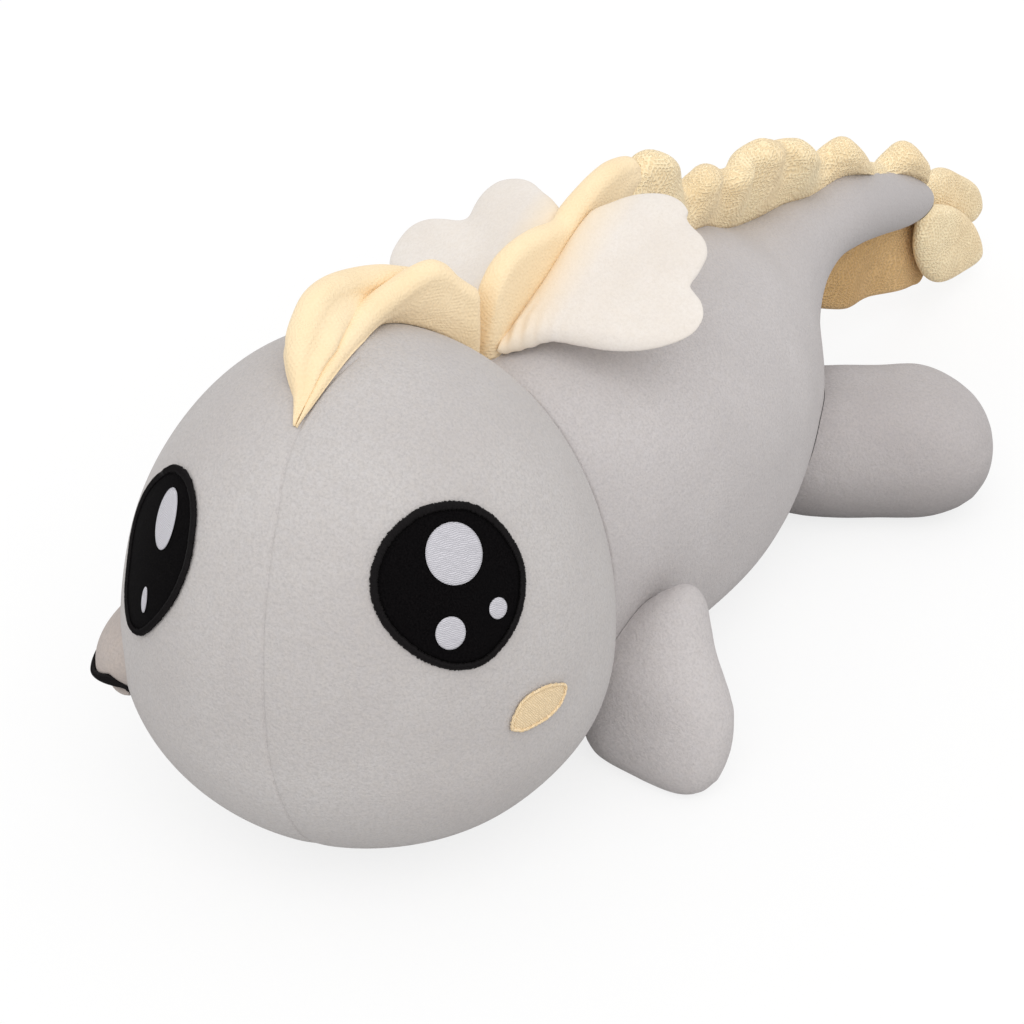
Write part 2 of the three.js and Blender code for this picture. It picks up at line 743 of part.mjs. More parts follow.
// A limb on both sides: two panels sewn edge to edge around a filling, open at the root
function addLimbs(name, bodyAt, trim, root, normal, middle, panels) {
  const { cover, filling } = coverAndFilling(bodyAt, trim);
  const openRoot = boxBetween([-far, -far, -far], [root, far, far]);
  const panelHalves = halves(cover.subtract(openRoot), normal, middle);
  for (const [side, place] of bothSides) {
    panels.forEach((panel, i) => add(`${side}_${name}_${panel}`, place(panelHalves[i]), "grey"));
    add(`${side}_${name}_filling`, place(filling), "fibre");
  }
}

function addFlippers() {
  const headRoom = swept(headBody(-jointGap), [0, flipperLift / 2, flipperLift], tailward, flipperPivot);
  const clearOfHead = (solid) => solid.subtract(headRoom);
  const root = flipperPivot.x - flipperRootRadius * 0.4;
  const back = new THREE.Vector3().crossVectors(flipperUp, left);
  addLimbs("flipper", flipperBody, clearOfHead, root, back, flipperMiddle, ["rear_panel", "front_panel"]);
}

function addPaddles() {
  const root = paddlePivot.x - paddleRootRadius * 0.4;
  addLimbs("paddle", paddleBody, asIs, root, up, paddleMiddle, ["upper_panel", "lower_panel"]);
}

function addWings() {
  for (const [side, place] of bothSides) {
    const [across, along] = wingPlane(side);
    const offBack = (solid) => solid.subtract(trunkBody(-seamGap));
    const { cover, filling } = coverAndFilling((inset) => wingBody(inset, side), offBack);
    const insideRoot = boxBetween([-far, -far, -far], [wingHingeDepth, far, far]);
    const openRoot = placed(insideRoot, wingRoot, across, along);
    const normal = new THREE.Vector3().crossVectors(across, along);
    const [upper, lower] = halves(cover.subtract(openRoot), normal, wingRoot);
    add(`${side}_wing_upper_panel`, place(upper), "white");
    add(`${side}_wing_lower_panel`, place(lower), "white");
    add(`${side}_wing_filling`, place(filling), "fibre");
  }
}

function addFin(name, [stationAt, from, to], trim) {
  const { cover, filling } = coverAndFilling((inset) => finBody(stationAt, from, to, inset), trim);
  add(`${name}_cover`, cover, "cream");
  add(`${name}_filling`, filling, "fibre");
}

function addCrest() {
  const offTrunk = (solid) => solid.subtract(trunkBody(-seamGap));
  const neckPost = post(neckRadius + jointGap, 0, -headForward);
  const tailPost = post(tailJointRadius + jointGap, 0, tailJointPlace);
  const behindNeck = (solid) => offTrunk(solid).subtract(neckPost);
  const inFrontOfTail = (solid) => offTrunk(solid).subtract(tailPost);
  addFin("neck_crest", neckCrest, behindNeck);
  addFin("back_crest", backCrest, inFrontOfTail);
  addFin("tail_crest", tailCrest, (solid) => offTrunk(solid).intersect(tailCut(tailJointRadius, 0)));
  const neckRoom = trunkBody(-jointGap).add(headBody(-seamGap));
  const onTheHead = (solid) => solid.subtract(neckRoom).intersect(post(neckRadius, 0, -headForward));
  const rearRoom = finBody(...rearFold, -seamGap);
  addFin("head_crest_front", frontFold, (solid) => onTheHead(solid).subtract(rearRoom));
  addFin("head_crest_rear", rearFold, onTheHead);
}

function addTailFins() {
  const crestRoom = finBody(...tailCrest, -seamGap);
  const offTail = (solid) => solid.subtract(trunkBody(-seamGap)).subtract(crestRoom);
  const upper = coverAndFilling(upperLobe, offTail);
  const lower = coverAndFilling(lowerLobe, offTail);
  const tailEnd = trunkBody(-clothThickness * 2);
  add("upper_lobe_cover", upper.cover.subtract(tailEnd), "cream");
  add("upper_lobe_filling", upper.filling, "fibre");
  add("lower_lobe_cover", lower.cover.subtract(tailEnd), "cream");
  add("lower_lobe_filling", lower.filling, "fibre");
  const keelTrim = (solid) => offTail(solid).subtract(upperLobe(-seamGap)).subtract(lowerLobe(-seamGap));
  addFin("keel", [keelStation, keelFrom, keelTo], keelTrim);
}

function addEye(side, place, size, glints) {
  const map = headMap(place);
  const disc = size.map((half) => half - eyeBorder - seamGap);
  const discTop = seamGap + patchThickness;
  const inner = headPatch(map, [0, 0], ellipse(disc, 0, 20), seamGap, () => discTop, 2);
  const rim = headHoop(map, ellipse(size, 0, 20), eyeBorder, seamGap, discTop * 1.4);
  add(`${side}_eye_disc`, inner, "black");
  add(`${side}_eye_border`, rim, "black");
  glints.forEach(([x, y, a, b], i) => {
    const low = discTop + seamGap;
    const glint = headPatch(map, [x, y], ellipse([a, b], 0, 10), low, () => low + patchThickness / 2, 1);
    add(`${side}_eye_glint_${i + 1}`, glint, "lilac");
  });
}

function addFace() {
  addEye("left", leftEyePlace, leftEyeSize, leftGlints);
  addEye("right", rightEyePlace, rightEyeSize, rightGlints);
  const blush = ellipse(cheekSize, toRadians(cheekTilt), 14);
  const blushTop = seamGap + patchThickness;
  const cheek = headPatch(headMap(cheekPlace), [0, 0], blush, seamGap, () => blushTop, 1);
  add("left_cheek_patch", cheek, "cream");
  const map = headMap(snoutPlace);
  const swell = (depth) => (reach) => seamGap + patchThickness + depth * Math.sqrt(1 - reach * reach);
  const bump = headPatch(map, [0, 0], ellipse(snoutSize, 0, 14), seamGap, swell(snoutDepth), 4);
  const lipPlace = [0, -snoutSize[1] - lipSize[1] - jointGap];
  const lip = headPatch(map, lipPlace, ellipse(lipSize, 0, 10), seamGap, swell(lipDepth), 2);
  add("snout", bump, "pink");
  add("lower_lip", lip, "pink");
  add("mouth_line", mouthLine(map, swell(snoutDepth)), "black");
}

// The stitched mouth: a low ridge in a smiling curve over the lower part of the snout
function mouthLine(map, snoutTop) {
  const steps = 10;
  const curve = (t) => new THREE.Vector2(t * mouthHalfLength, -snoutSize[1] * (0.62 - 0.3 * t * t));
  const rings = [...Array(steps + 1).keys()].map((i) => {
    const t = (2 * i) / steps - 1;
    const p = curve(t);
    const along = curve(t + 0.01).sub(curve(t - 0.01)).normalize();
    const across = new THREE.Vector2(-along.y, along.x).multiplyScalar(mouthWidth / 2);
    const point = (share, rise) => {
      const q = p.clone().addScaledVector(across, share);
      const reach = Math.min(Math.hypot(q.x / snoutSize[0], q.y / snoutSize[1]), 1);
      return map(q.x, q.y, snoutTop(reach) + seamGap + rise);
    };
    return [point(-1, 0), point(1, 0), point(0.6, patchThickness), point(-0.6, patchThickness)];
  });
  const middle = (ring) => ring.reduce((sum, p) => sum.add(p), new THREE.Vector3()).divideScalar(ring.length);
  return solidFromRings(rings, middle(rings[0]), middle(rings.at(-1)));
}

addHead();
addTrunk();
addTail();
addFlippers();
addPaddles();
addWings();
addCrest();
addTailFins();
addFace();

export default dragon;
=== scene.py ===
# Plush dragon lying on its belly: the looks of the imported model.
# Shapes are drawn in millimetres and made in metres, in the frame of the model:
# +Z up, the dragon looks along -Y, its left side is +X, and the belly rests at z = 0.

import math

import bmesh
import bpy
import numpy as np
from mathutils import Matrix, Vector
from mathutils.kdtree import KDTree


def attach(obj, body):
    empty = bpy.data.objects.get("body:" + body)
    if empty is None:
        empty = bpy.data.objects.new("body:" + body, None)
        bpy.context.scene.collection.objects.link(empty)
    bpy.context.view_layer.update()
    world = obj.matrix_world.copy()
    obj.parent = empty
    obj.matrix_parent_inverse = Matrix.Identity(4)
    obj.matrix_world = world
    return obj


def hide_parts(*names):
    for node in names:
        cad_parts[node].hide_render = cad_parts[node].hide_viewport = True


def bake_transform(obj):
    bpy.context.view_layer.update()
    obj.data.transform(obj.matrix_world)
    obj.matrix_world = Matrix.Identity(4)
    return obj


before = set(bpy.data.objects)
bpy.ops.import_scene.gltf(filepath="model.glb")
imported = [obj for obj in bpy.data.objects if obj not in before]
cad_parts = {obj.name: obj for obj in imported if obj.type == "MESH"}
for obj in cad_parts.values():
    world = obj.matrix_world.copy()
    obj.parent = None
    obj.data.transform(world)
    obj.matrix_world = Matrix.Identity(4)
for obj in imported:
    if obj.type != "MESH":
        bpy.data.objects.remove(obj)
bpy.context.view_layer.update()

MM = 0.001

# Head, as in the model
HEAD_RADIUS = 100
HEAD_CROWN = 132
HEAD_WAIST = 74
HEAD_FORWARD = 140
CROWN_FULLNESS = 2.1
JOWL_FULLNESS = 2.02
FLOOR_DEPTH = 4
HEAD_CENTRE = np.array([0, -HEAD_FORWARD, HEAD_WAIST], float)
NECK_RADIUS = 0.79 * HEAD_RADIUS

# Body, as in the model. A section is its place as a share of the body's length, then half
# width, top and underside as shares of the body's half width and height.
BODY_HALF_WIDTH = 82
BODY_HEIGHT = 168
BELLY_FULLNESS = 2.8
BODY_LENGTH = 326
CHEST_PLACE = -118
BODY_SECTIONS = [
    (0, 0.52, 0.62, 0.17),
    (0.043, 0.8, 0.88, 0.02),
    (0.163, 0.91, 0.958, 0),
    (0.301, 0.98, 1, 0),
    (0.469, 1, 0.99, 0),
    (0.601, 0.89, 0.92, 0),
    (0.699, 0.755, 0.85, 0.005),
    (0.785, 0.575, 0.76, 0.08),
    (0.859, 0.39, 0.722, 0.24),
    (0.933, 0.265, 0.702, 0.38),
    (1, 0.22, 0.669, 0.452),
]
RUMP_LENGTH = 23
TAIL_JOINT = CHEST_PLACE + BODY_LENGTH + RUMP_LENGTH
TAIL_LENGTH = 82.5

# Tail: 1 to 2 mm thicker than in the model, and its tip 1 mm higher
TAIL_ROOT_RADIUS = 19
TAIL_END_RADIUS = 13.9
TAIL_ROOT_HEIGHT = 94
TAIL_TIP_HEIGHT = 66
TAIL_BEND = 5
TAIL_TIP = np.array([TAIL_BEND, TAIL_JOINT + TAIL_LENGTH, TAIL_TIP_HEIGHT], float)

# Limbs: their sizes are the model's
FLIPPER_PLACE = -58
FLIPPER_PIVOT_HEIGHT = 60
FLIPPER_PIVOT_DEPTH = 9
FLIPPER_ROOT = 23
FLIPPER_LENGTH = 64
FLIPPER_THICKNESS = 46
FLIPPER_SLANT = 24
FLIPPER_LIFT = 18
PADDLE_PLACE = CHEST_PLACE + BODY_LENGTH - 52
PADDLE_PIVOT_DEPTH = 2
PADDLE_ROOT = 25
PADDLE_LENGTH = 89
PADDLE_WIDTH = 84
PADDLE_THICKNESS = 69

# Wings, as in the model
WING_THICKNESS = 9
WING_REACH = {"left": 67, "right": 76}
WING_LENGTH = {"left": 97, "right": 89}
WING_CLIMB = 26.5
WING_DROOP = {"left": 5, "right": 21}

# Clearances between pieces
SEWN_GAP = 0.5
JOINT_GAP = 0.8
LIMB_GAP = 0.12
LOBE_GAP = 0.15
CREST_GAP = 0.1

# How softly a form flattens on the floor, how far above it, and the lowest that any point may be
FLOOR_EASE = 1.2
FLOOR_LIFT = 0.25
LOWEST = 0.3

SIDES = ("left", "right")


# Numbers and curves


def unit(v):
    v = np.asarray(v, float)
    return v / np.linalg.norm(v, axis=-1, keepdims=True)


def mix(a, b, t):
    return a + (b - a) * t


def smooth_through(pairs):
    """A smooth value through (place, value) pairs, for one place or many."""
    x, y = np.array(pairs, float).T
    before = np.maximum(np.arange(len(x)) - 1, 0)
    after = np.minimum(np.arange(len(x)) + 1, len(x) - 1)
    slope = (y[after] - y[before]) / (x[after] - x[before])

    def value(at):
        i = np.clip(np.searchsorted(x, at, side="right") - 1, 0, len(x) - 2)
        span = x[i + 1] - x[i]
        t = np.clip((at - x[i]) / span, 0, 1)
        bend = slope[i] * span * t * (1 - t) ** 2 - slope[i + 1] * span * t * t * (1 - t)
        return mix(y[i], y[i + 1], t * t * (3 - 2 * t)) + bend

    return value


def values_at(pairs, places):
    """Smooth values through (place, value) pairs, or zeros without pairs."""
    return smooth_through(pairs)(places) if pairs else 0 * places


def lengths_along(points):
    """The length of a path up to each of its points."""
    return np.concatenate([[0], np.cumsum(np.linalg.norm(np.diff(points, axis=0), axis=1))])


def smooth_path(points, count):
    """Points evenly spaced along a smooth path through a few points."""
    points = np.array(points, float)
    reach = lengths_along(points)
    at = np.linspace(0, reach[-1], count)
    return np.stack([smooth_through(np.stack([reach, c], 1))(at) for c in points.T], 1)


def smooth_loop(points, count):
    """Points evenly spaced round a smooth closed outline through a few points."""
    points = np.array(points, float)
    fine = smooth_path(np.concatenate([points] * 3), 36 * len(points))
    reach = lengths_along(fine)
    third = reach[-1] / 3
    at = third + np.linspace(0, third, count, endpoint=False)
    return np.stack([np.interp(at, reach, c) for c in fine.T], 1)


def lumps(points, size, seed):
    """Soft unevenness from about -1 to 1 at points, in waves about size long."""
    rng = np.random.default_rng(seed)
    total = np.zeros(len(points))
    for _ in range(8):
        direction = unit(rng.normal(size=3))
        length = size * rng.uniform(0.7, 1.6)
        total += np.sin(points @ direction * (2 * math.pi / length) + rng.uniform(0, 2 * math.pi))
    return total / 4


def turn(points, degrees, axis, pivot):
    """Points turned about an axis through a pivot."""
    rotation = np.array(Matrix.Rotation(math.radians(degrees), 3, Vector(axis)))
    return (np.asarray(points) - pivot) @ rotation.T + pivot


def rest_on_floor(points):
    """Lifts what would be below the floor, so that the form lies flat on it."""
    points = np.array(points, float)
    z = points[:, 2]
    points[:, 2] = (z + np.sqrt(z * z + FLOOR_EASE)) / 2 + FLOOR_LIFT
    return points


def rest_above_floor(points):
    points = np.array(points, float)
    points[:, 2] = np.maximum(points[:, 2], LOWEST)
    return points


# Meshes


def skin_faces(rows, columns):
    """Faces between neighbouring rings, each ring closed on itself."""
    r, c = np.meshgrid(np.arange(rows - 1) * columns, np.arange(columns), indexing="ij")
    after = (c + 1) % columns
    quads = np.stack([r + c, r + after, r + columns + after, r + columns + c], -1)
    return quads.reshape(-1, 4).tolist()


def closed_skin(rings, start, end):
    """Points and faces of a closed skin over rings, with a tip at each end."""
    rings = np.asarray(rings, float)
    rows, columns = rings.shape[:2]
    points = np.concatenate([rings.reshape(-1, 3), [start, end]])
    faces = skin_faces(rows, columns)
    last = (rows - 1) * columns
    for i in range(columns):
        j = (i + 1) % columns
        faces.append([rows * columns, j, i])
        faces.append([rows * columns + 1, last + i, last + j])
    return points, faces


def hoop_skin(rings):
    """Points and faces of a ring-shaped skin: rings that close on themselves both ways."""
    rings = np.asarray(rings, float)
    rows, columns = rings.shape[:2]
    faces = np.array(skin_faces(rows + 1, columns)) % (rows * columns)
    return rings.reshape(-1, 3), faces.tolist()


def make_mesh(name, points, faces):
    mesh = bpy.data.meshes.new(name)
    mesh.from_pydata((np.asarray(points) * MM).tolist(), [], faces)
    piece = bpy.data.objects.new(name, mesh)
    bpy.context.scene.collection.objects.link(piece)
    face_outwards(mesh)
    return piece


def face_outwards(mesh):
    work = bmesh.new()
    work.from_mesh(mesh)
    if work.calc_volume(signed=True) < 0:
        bmesh.ops.reverse_faces(work, faces=work.faces)
    work.to_mesh(mesh)
    work.free()
    mesh.polygons.foreach_set("use_smooth", [True] * len(mesh.polygons))


def points_of(piece):
    co = np.empty(len(piece.data.vertices) * 3)
    piece.data.vertices.foreach_get("co", co)
    return co.reshape(-1, 3) / MM


def normals_of(piece):
    no = np.empty(len(piece.data.vertices) * 3, np.float32)
    piece.data.vertices.foreach_get("normal", no)
    return no.reshape(-1, 3)


def set_points(piece, points):
    piece.data.vertices.foreach_set("co", (np.asarray(points) * MM).ravel())
    piece.data.update()


def apply_modifiers(piece):
    evaluated = piece.evaluated_get(bpy.context.evaluated_depsgraph_get())
    made = bpy.data.meshes.new_from_object(evaluated)
    old = piece.data
    piece.modifiers.clear()
    piece.data = made
    bpy.data.meshes.remove(old)
    made.name = piece.name


SHARP_ANGLE = math.radians(50)


def cut_to_trunk(piece, gap):
    """Takes the room of trunk and tail, and a gap round them, out of a piece."""
    room = trunk_cutter(gap)
    cut = piece.modifiers.new("cut", "BOOLEAN")
    cut.operation = "DIFFERENCE"
    cut.solver = "EXACT"
    cut.object = room
    apply_modifiers(piece)
    bpy.data.objects.remove(room)
    keep_largest(piece)
    piece.data.polygons.foreach_set("use_smooth", [True] * len(piece.data.polygons))
    piece.data.set_sharp_from_angle(angle=SHARP_ANGLE)


def keep_largest(piece):
    """Deletes the loose crumbs that a cut may leave."""
    work = bmesh.new()
    work.from_mesh(piece.data)
    unseen = set(work.verts)
    groups = []
    while unseen:
        stack = [unseen.pop()]
        group = list(stack)
        while stack:
            for edge in stack.pop().link_edges:
                for v in edge.verts:
                    if v in unseen:
                        unseen.discard(v)
                        stack.append(v)
                        group.append(v)
        groups.append(group)
    groups.sort(key=len, reverse=True)
    crumbs = [v for group in groups[1:] for v in group]
    bmesh.ops.delete(work, geom=crumbs, context="VERTS")
    work.to_mesh(piece.data)
    work.free()


def cut_edge_points(piece):
    """Points along the sharp edges that a cut left."""
    work = bmesh.new()
    work.from_mesh(piece.data)
    edges = [e for e in work.edges if len(e.link_faces) == 2 and e.calc_face_angle(0) > SHARP_ANGLE]
    sharp = {v for e in edges for v in e.verts}
    found = np.array([v.co[:] for v in sharp]).reshape(-1, 3) / MM
    work.free()
    return found


def pull_in(piece, seam, depth, width):
    """Draws a piece in along a seam, as stitching does."""
    if not len(seam):
        return
    tree = KDTree(len(seam))
    for i, p in enumerate(seam):
        tree.insert(p, i)
    tree.balance()
    points, normals = points_of(piece), normals_of(piece)
    low, high = seam.min(0) - 4 * width, seam.max(0) + 4 * width
    near = np.flatnonzero(np.all((points > low) & (points < high), axis=1))
    for i in near:
        distance = tree.find(points[i])[2]
        points[i] -= normals[i] * depth * math.exp(-((distance / width) ** 2))
    set_points(piece, points)


def finish_piece(piece, look, nodes=(), body=None):
    """Gives a piece its look, hides the nodes that it replaces and attaches it to the body it rides on."""
    material, slot = looks[look]
    piece.data.materials.clear()
    piece.data.materials.append(material)
    if nodes:
        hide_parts(*nodes)
    if body:
        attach(piece, body)


def covered(*names):
    """The nodes of padded parts that have one cover each."""
    return [f"{name}_{part}" for name in names for part in ("cover", "filling")]


# Materials


def linear(colour):
    """A colour written in display levels from 0 to 255, for a shader's socket."""
    levels = [c / 255 for c in colour]
    return [c / 12.92 if c <= 0.04045 else ((c + 0.055) / 1.055) ** 2.4 for c in levels] + [1]


def feed(tree, node, inputs):
    """Gives a node's inputs, by name or number, their values or links."""
    for socket, value in inputs.items():
        if isinstance(value, bpy.types.NodeSocket):
            tree.links.new(value, node.inputs[socket])
        else:
            node.inputs[socket].default_value = value


def add_node(tree, kind, inputs, **settings):
    node = tree.nodes.new("ShaderNode" + kind)
    for setting, value in settings.items():
        setattr(node, setting, value)
    feed(tree, node, inputs)
    return node


class Shader:
    """A node material under construction."""

    def __init__(self, name, roughness=0.95, sheen=0.12, specular=0.25):
        self.material = bpy.data.materials.new(name)
        self.material.use_nodes = True
        self.tree = self.material.node_tree
        self.surface = {"Roughness": roughness, "Specular IOR Level": specular}
        self.surface.update({"Sheen Weight": sheen, "Sheen Roughness": 0.5})
        self.coordinates = self.add("TexCoord").outputs["Object"]
        self.normal = {}

    def add(self, kind, inputs={}, **settings):
        return add_node(self.tree, kind, inputs, **settings)

    def place(self, axis):
        """A place along an axis of the model, in metres."""
        return self.add("SeparateXYZ", {"Vector": self.coordinates}).outputs[axis]

    def noise(self, per_metre, detail=2, roughness=0.5, distortion=0, at=None):
        inputs = {"Vector": at or self.coordinates, "Scale": per_metre, "Detail": detail}
        inputs.update({"Roughness": roughness, "Distortion": distortion})
        return self.add("TexNoise", inputs).outputs["Fac"]

    def math(self, operation, a, b=0.0):
        return self.add("Math", {0: a, 1: b}, operation=operation).outputs[0]

    def ramp(self, value, low, high, to_low=0.0, to_high=1.0):
        inputs = {"Value": value, "From Min": low, "From Max": high, "To Min": to_low, "To Max": to_high}
        return self.add("MapRange", inputs).outputs["Result"]

    def blend(self, share, a, b):
        """A share of b over a, each a socket or a colour in display levels."""
        a, b = (c if isinstance(c, bpy.types.NodeSocket) else linear(c) for c in (a, b))
        return self.add("Mix", {0: share, 6: a, 7: b}, data_type="RGBA").outputs[2]

    def bump(self, height, depth, strength=1.0):
        """Raises the surface by a height from 0 to 1 times depth millimetres."""
        inputs = {"Height": height, "Distance": depth * MM, "Strength": strength, **self.normal}
        self.normal = {"Normal": self.add("Bump", inputs).outputs["Normal"]}

    def done(self, colour):
        bsdf = self.tree.nodes["Principled BSDF"]
        feed(self.tree, bsdf, {**self.surface, "Base Color": colour, **self.normal})
        return self.material


# Grain of the pile: waves in a metre, detail, roughness and distortion
PILE_FINE = (900, 3, 0.65)
PILE_CLUMPS = (380, 3, 0.6)
PILE_PATCHES = (16, 3, 0.55, 0.4)
# Painted shade: where along the dragon the body darkens towards the tail, and at what height the hind
# paddles darken near the floor, in metres
TAIL_SHADE_SPAN = (100 * MM, 260 * MM)
FLOOR_SHADE_SPAN = (5 * MM, 36 * MM)


def plush(name, colour, shade, warm, fade=0.0, low=0.0):
    """Short velvety pile, with painted shade: darker by fade towards the tail and by low near the floor."""
    shader = Shader(name)
    fine, clumps, patches = (shader.noise(*grain) for grain in (PILE_FINE, PILE_CLUMPS, PILE_PATCHES))
    tone = shader.blend(shader.ramp(patches, 0.35, 0.68), shade, colour)
    tone = shader.blend(shader.ramp(clumps, 0.35, 0.65, 0.0, 0.35), tone, warm)
    tone = shader.blend(shader.ramp(fine, 0.32, 0.6, 0.5, 0.0), tone, [c * 0.84 for c in colour])
    # Painted shade: the pile darkens towards the tail
    rear = shader.ramp(shader.place("Y"), *TAIL_SHADE_SPAN, 0.0, 0.75 * fade)
    tone = shader.blend(rear, tone, [c * 0.92 for c in shade])
    # Painted shade: the pile darkens near the floor, where the undersides lie in shadow
    under = shader.ramp(shader.place("Z"), *FLOOR_SHADE_SPAN, low, 0.0)
    tone = shader.blend(under, tone, [c * 0.72 for c in shade])
    shader.bump(clumps, 0.45, 0.8)
    shader.bump(fine, 0.35)
    return shader.done(tone)


def wing_plush():
    """White pile, creamy near the root of the wing: partly its own tint, partly painted warm bounce light
    and shade from the crest.
    """
    shader = Shader("wing_plush")
    fine = shader.noise(800, 3, 0.65)
    clumps = shader.noise(240, 3, 0.6)
    patches = shader.noise(18, 3)
    tone = shader.blend(shader.ramp(patches, 0.35, 0.65), (224, 216, 208), (232, 226, 220))
    tone = shader.blend(shader.ramp(clumps, 0.35, 0.7, 0.0, 0.35), tone, (226, 217, 206))
    tone = shader.blend(shader.ramp(fine, 0.3, 0.6, 0.3, 0.0), tone, (208, 199, 190))
    # Cream near the root: partly the fabric's tint, partly painted bounce light and shade from the crest
    root_cream_and_bounce = shader.ramp(shader.math("ABSOLUTE", shader.place("X")), 7 * MM, 24 * MM, 0.6, 0.0)
    tone = shader.blend(root_cream_and_bounce, tone, (240, 218, 182))
    shader.bump(clumps, 0.3, 0.6)
    shader.bump(fine, 0.25, 0.7)
    return shader.done(tone)


NAP_PITCH = 1.5
NAP_WAVES = 6
GOLDEN_ANGLE = 2.39996


def winding(shader):
    """Winding ridges that run every way: even waves in many directions, added up."""
    drift = shader.add("TexNoise", {"Vector": shader.coordinates, "Scale": 70, "Detail": 1})
    bend = {0: drift.outputs["Color"], 1: (NAP_PITCH * 5 * MM,) * 3, 2: shader.coordinates}
    bent = shader.add("VectorMath", bend, operation="MULTIPLY_ADD").outputs["Vector"]
    total = 0.0
    for i in range(NAP_WAVES):
        height = 1 - (i + 0.5) / NAP_WAVES
        flat = math.sqrt(1 - height * height)
        around = i * GOLDEN_ANGLE
        way = Vector((flat * math.cos(around), flat * math.sin(around), height))
        way *= 2 * math.pi / (NAP_PITCH * MM)
        along = shader.add("VectorMath", {0: bent, 1: way}, operation="DOT_PRODUCT").outputs["Value"]
        total = shader.math("ADD", shader.math("SINE", shader.math("ADD", along, i * 1.7)), total)
    reach = 1.3 * math.sqrt(NAP_WAVES / 2)
    return shader.ramp(total, -reach, reach)


def napped(name, colour, shade, hollow_shade, strength):
    """Long nap that lies in winding ridges, NAP_PITCH millimetres apart, with painted shade in their
    valleys.
    """
    shader = Shader(name, sheen=0.15)
    ridges = winding(shader)
    fine = shader.noise(900, 3, 0.6)
    tone = shader.blend(shader.ramp(shader.noise(22), 0.35, 0.65), shade, colour)
    # Painted shade: the ridges' valleys take the darker hollow colour
    tone = shader.blend(shader.ramp(ridges, 0.2, 0.75, 0.34 * strength, 0.0), tone, hollow_shade)
    shader.bump(ridges, 0.5 * strength)
    shader.bump(fine, 0.25, 0.6)
    return shader.done(tone)


def threads(name, colour, shade, across, pitch, sheen=0.1, roughness=0.6):
    """Satin stitch: parallel threads across the mesh's own flat coordinates."""
    shader = Shader(name, roughness, sheen, 0.35)
    flat = shader.add("UVMap").outputs["UV"]
    split = shader.add("SeparateXYZ", {"Vector": flat}).outputs
    x = shader.math("MULTIPLY", split["X"], math.cos(math.radians(across)))
    y = shader.math("MULTIPLY", split["Y"], math.sin(math.radians(across)))
    drift = shader.math("MULTIPLY", shader.noise(0.35, at=flat), pitch * 2)
    place = shader.math("ADD", shader.math("ADD", x, y), drift)
    wave = shader.ramp(shader.math("SINE", shader.math("MULTIPLY", place, 2 * math.pi / pitch)), -1, 1)
    fleck = shader.noise(2.5, 3, at=flat)
    tone = shader.blend(shader.ramp(wave, 0.0, 0.7, 0.8, 0.0), colour, shade)
    tone = shader.blend(shader.ramp(fleck, 0.35, 0.75, 0.0, 0.3), tone, shade)
    shader.bump(wave, 0.25, 0.8)
    return shader.done(tone)


def eye_cloth():
    shader = Shader("eye_cloth", 0.9, 0.0, 0.05)
    weave = shader.noise(1500, 2, 0.6)
    tone = shader.blend(shader.ramp(weave, 0.35, 0.7), (4, 3, 4), (16, 14, 15))
    tone = shader.blend(shader.ramp(shader.noise(90, 3), 0.4, 0.7, 0.0, 0.5), tone, (9, 8, 9))
    shader.bump(weave, 0.2, 0.8)
    return shader.done(tone)


def black_satin():
    shader = Shader("black_satin", 0.6, 0.0, 0.1)
    strand = shader.noise(1300)
    shader.bump(strand, 0.15, 0.6)
    return shader.done(shader.blend(strand, (5, 4, 5), (27, 24, 25)))


def make_looks():
    """The material of each look, with the slot of the model that it belongs to."""
    grey, cream, black = "grey_fabric", "cream_fabric", "black_thread"
    return {
        "head": (plush("head_plush", (199, 195, 194), (190, 185, 184), (194, 187, 181)), grey),
        # The body's fabric, with painted shade darkening it towards the tail
        "body": (plush("body_plush", (202, 197, 197), (192, 187, 187), (197, 190, 186), fade=1.0), grey),
        # The hind paddles: the body's grey fabric painted darker as painted shade, and darker still near the
        # floor
        "hind": (plush("hind_shaded_plush", (191, 186, 186), (178, 172, 172), (184, 177, 173), low=0.65), grey),
        "snout": (plush("snout_plush", (194, 184, 178), (182, 172, 167), (196, 182, 172)), "pink_fabric"),
        # The third colour of each napped look is painted shade in the valleys of its nap
        "crest": (napped("crest_plush", (250, 228, 191), (245, 221, 181), (226, 194, 145), 0.3), cream),
        "fin": (napped("fin_plush", (255, 237, 198), (253, 230, 188), (214, 180, 128), 1.0), cream),
        # The keel: the fins' cream fabric painted darker, as painted shade under the tail
        "keel": (napped("keel_shaded_plush", (227, 188, 132), (213, 172, 114), (168, 130, 80), 1.0), cream),
        "cheek": (threads("cheek_thread", (246, 222, 184), (222, 194, 148), 35, 0.8, 0.2, 0.75), cream),
        "glint": (threads("glint_thread", (216, 214, 220), (168, 167, 175), 90, 0.62), "lilac_thread"),
        "disc": (eye_cloth(), black),
        "satin": (black_satin(), black),
        "wing": (wing_plush(), "white_fabric"),
    }


looks = make_looks()


# Head


# Unevenness of the head's stuffing: how high and how long its waves are, and how far all is drawn in
HEAD_LUMPS = 0.7
HEAD_LUMP_LENGTH = 85
HEAD_TAUT = 0.6


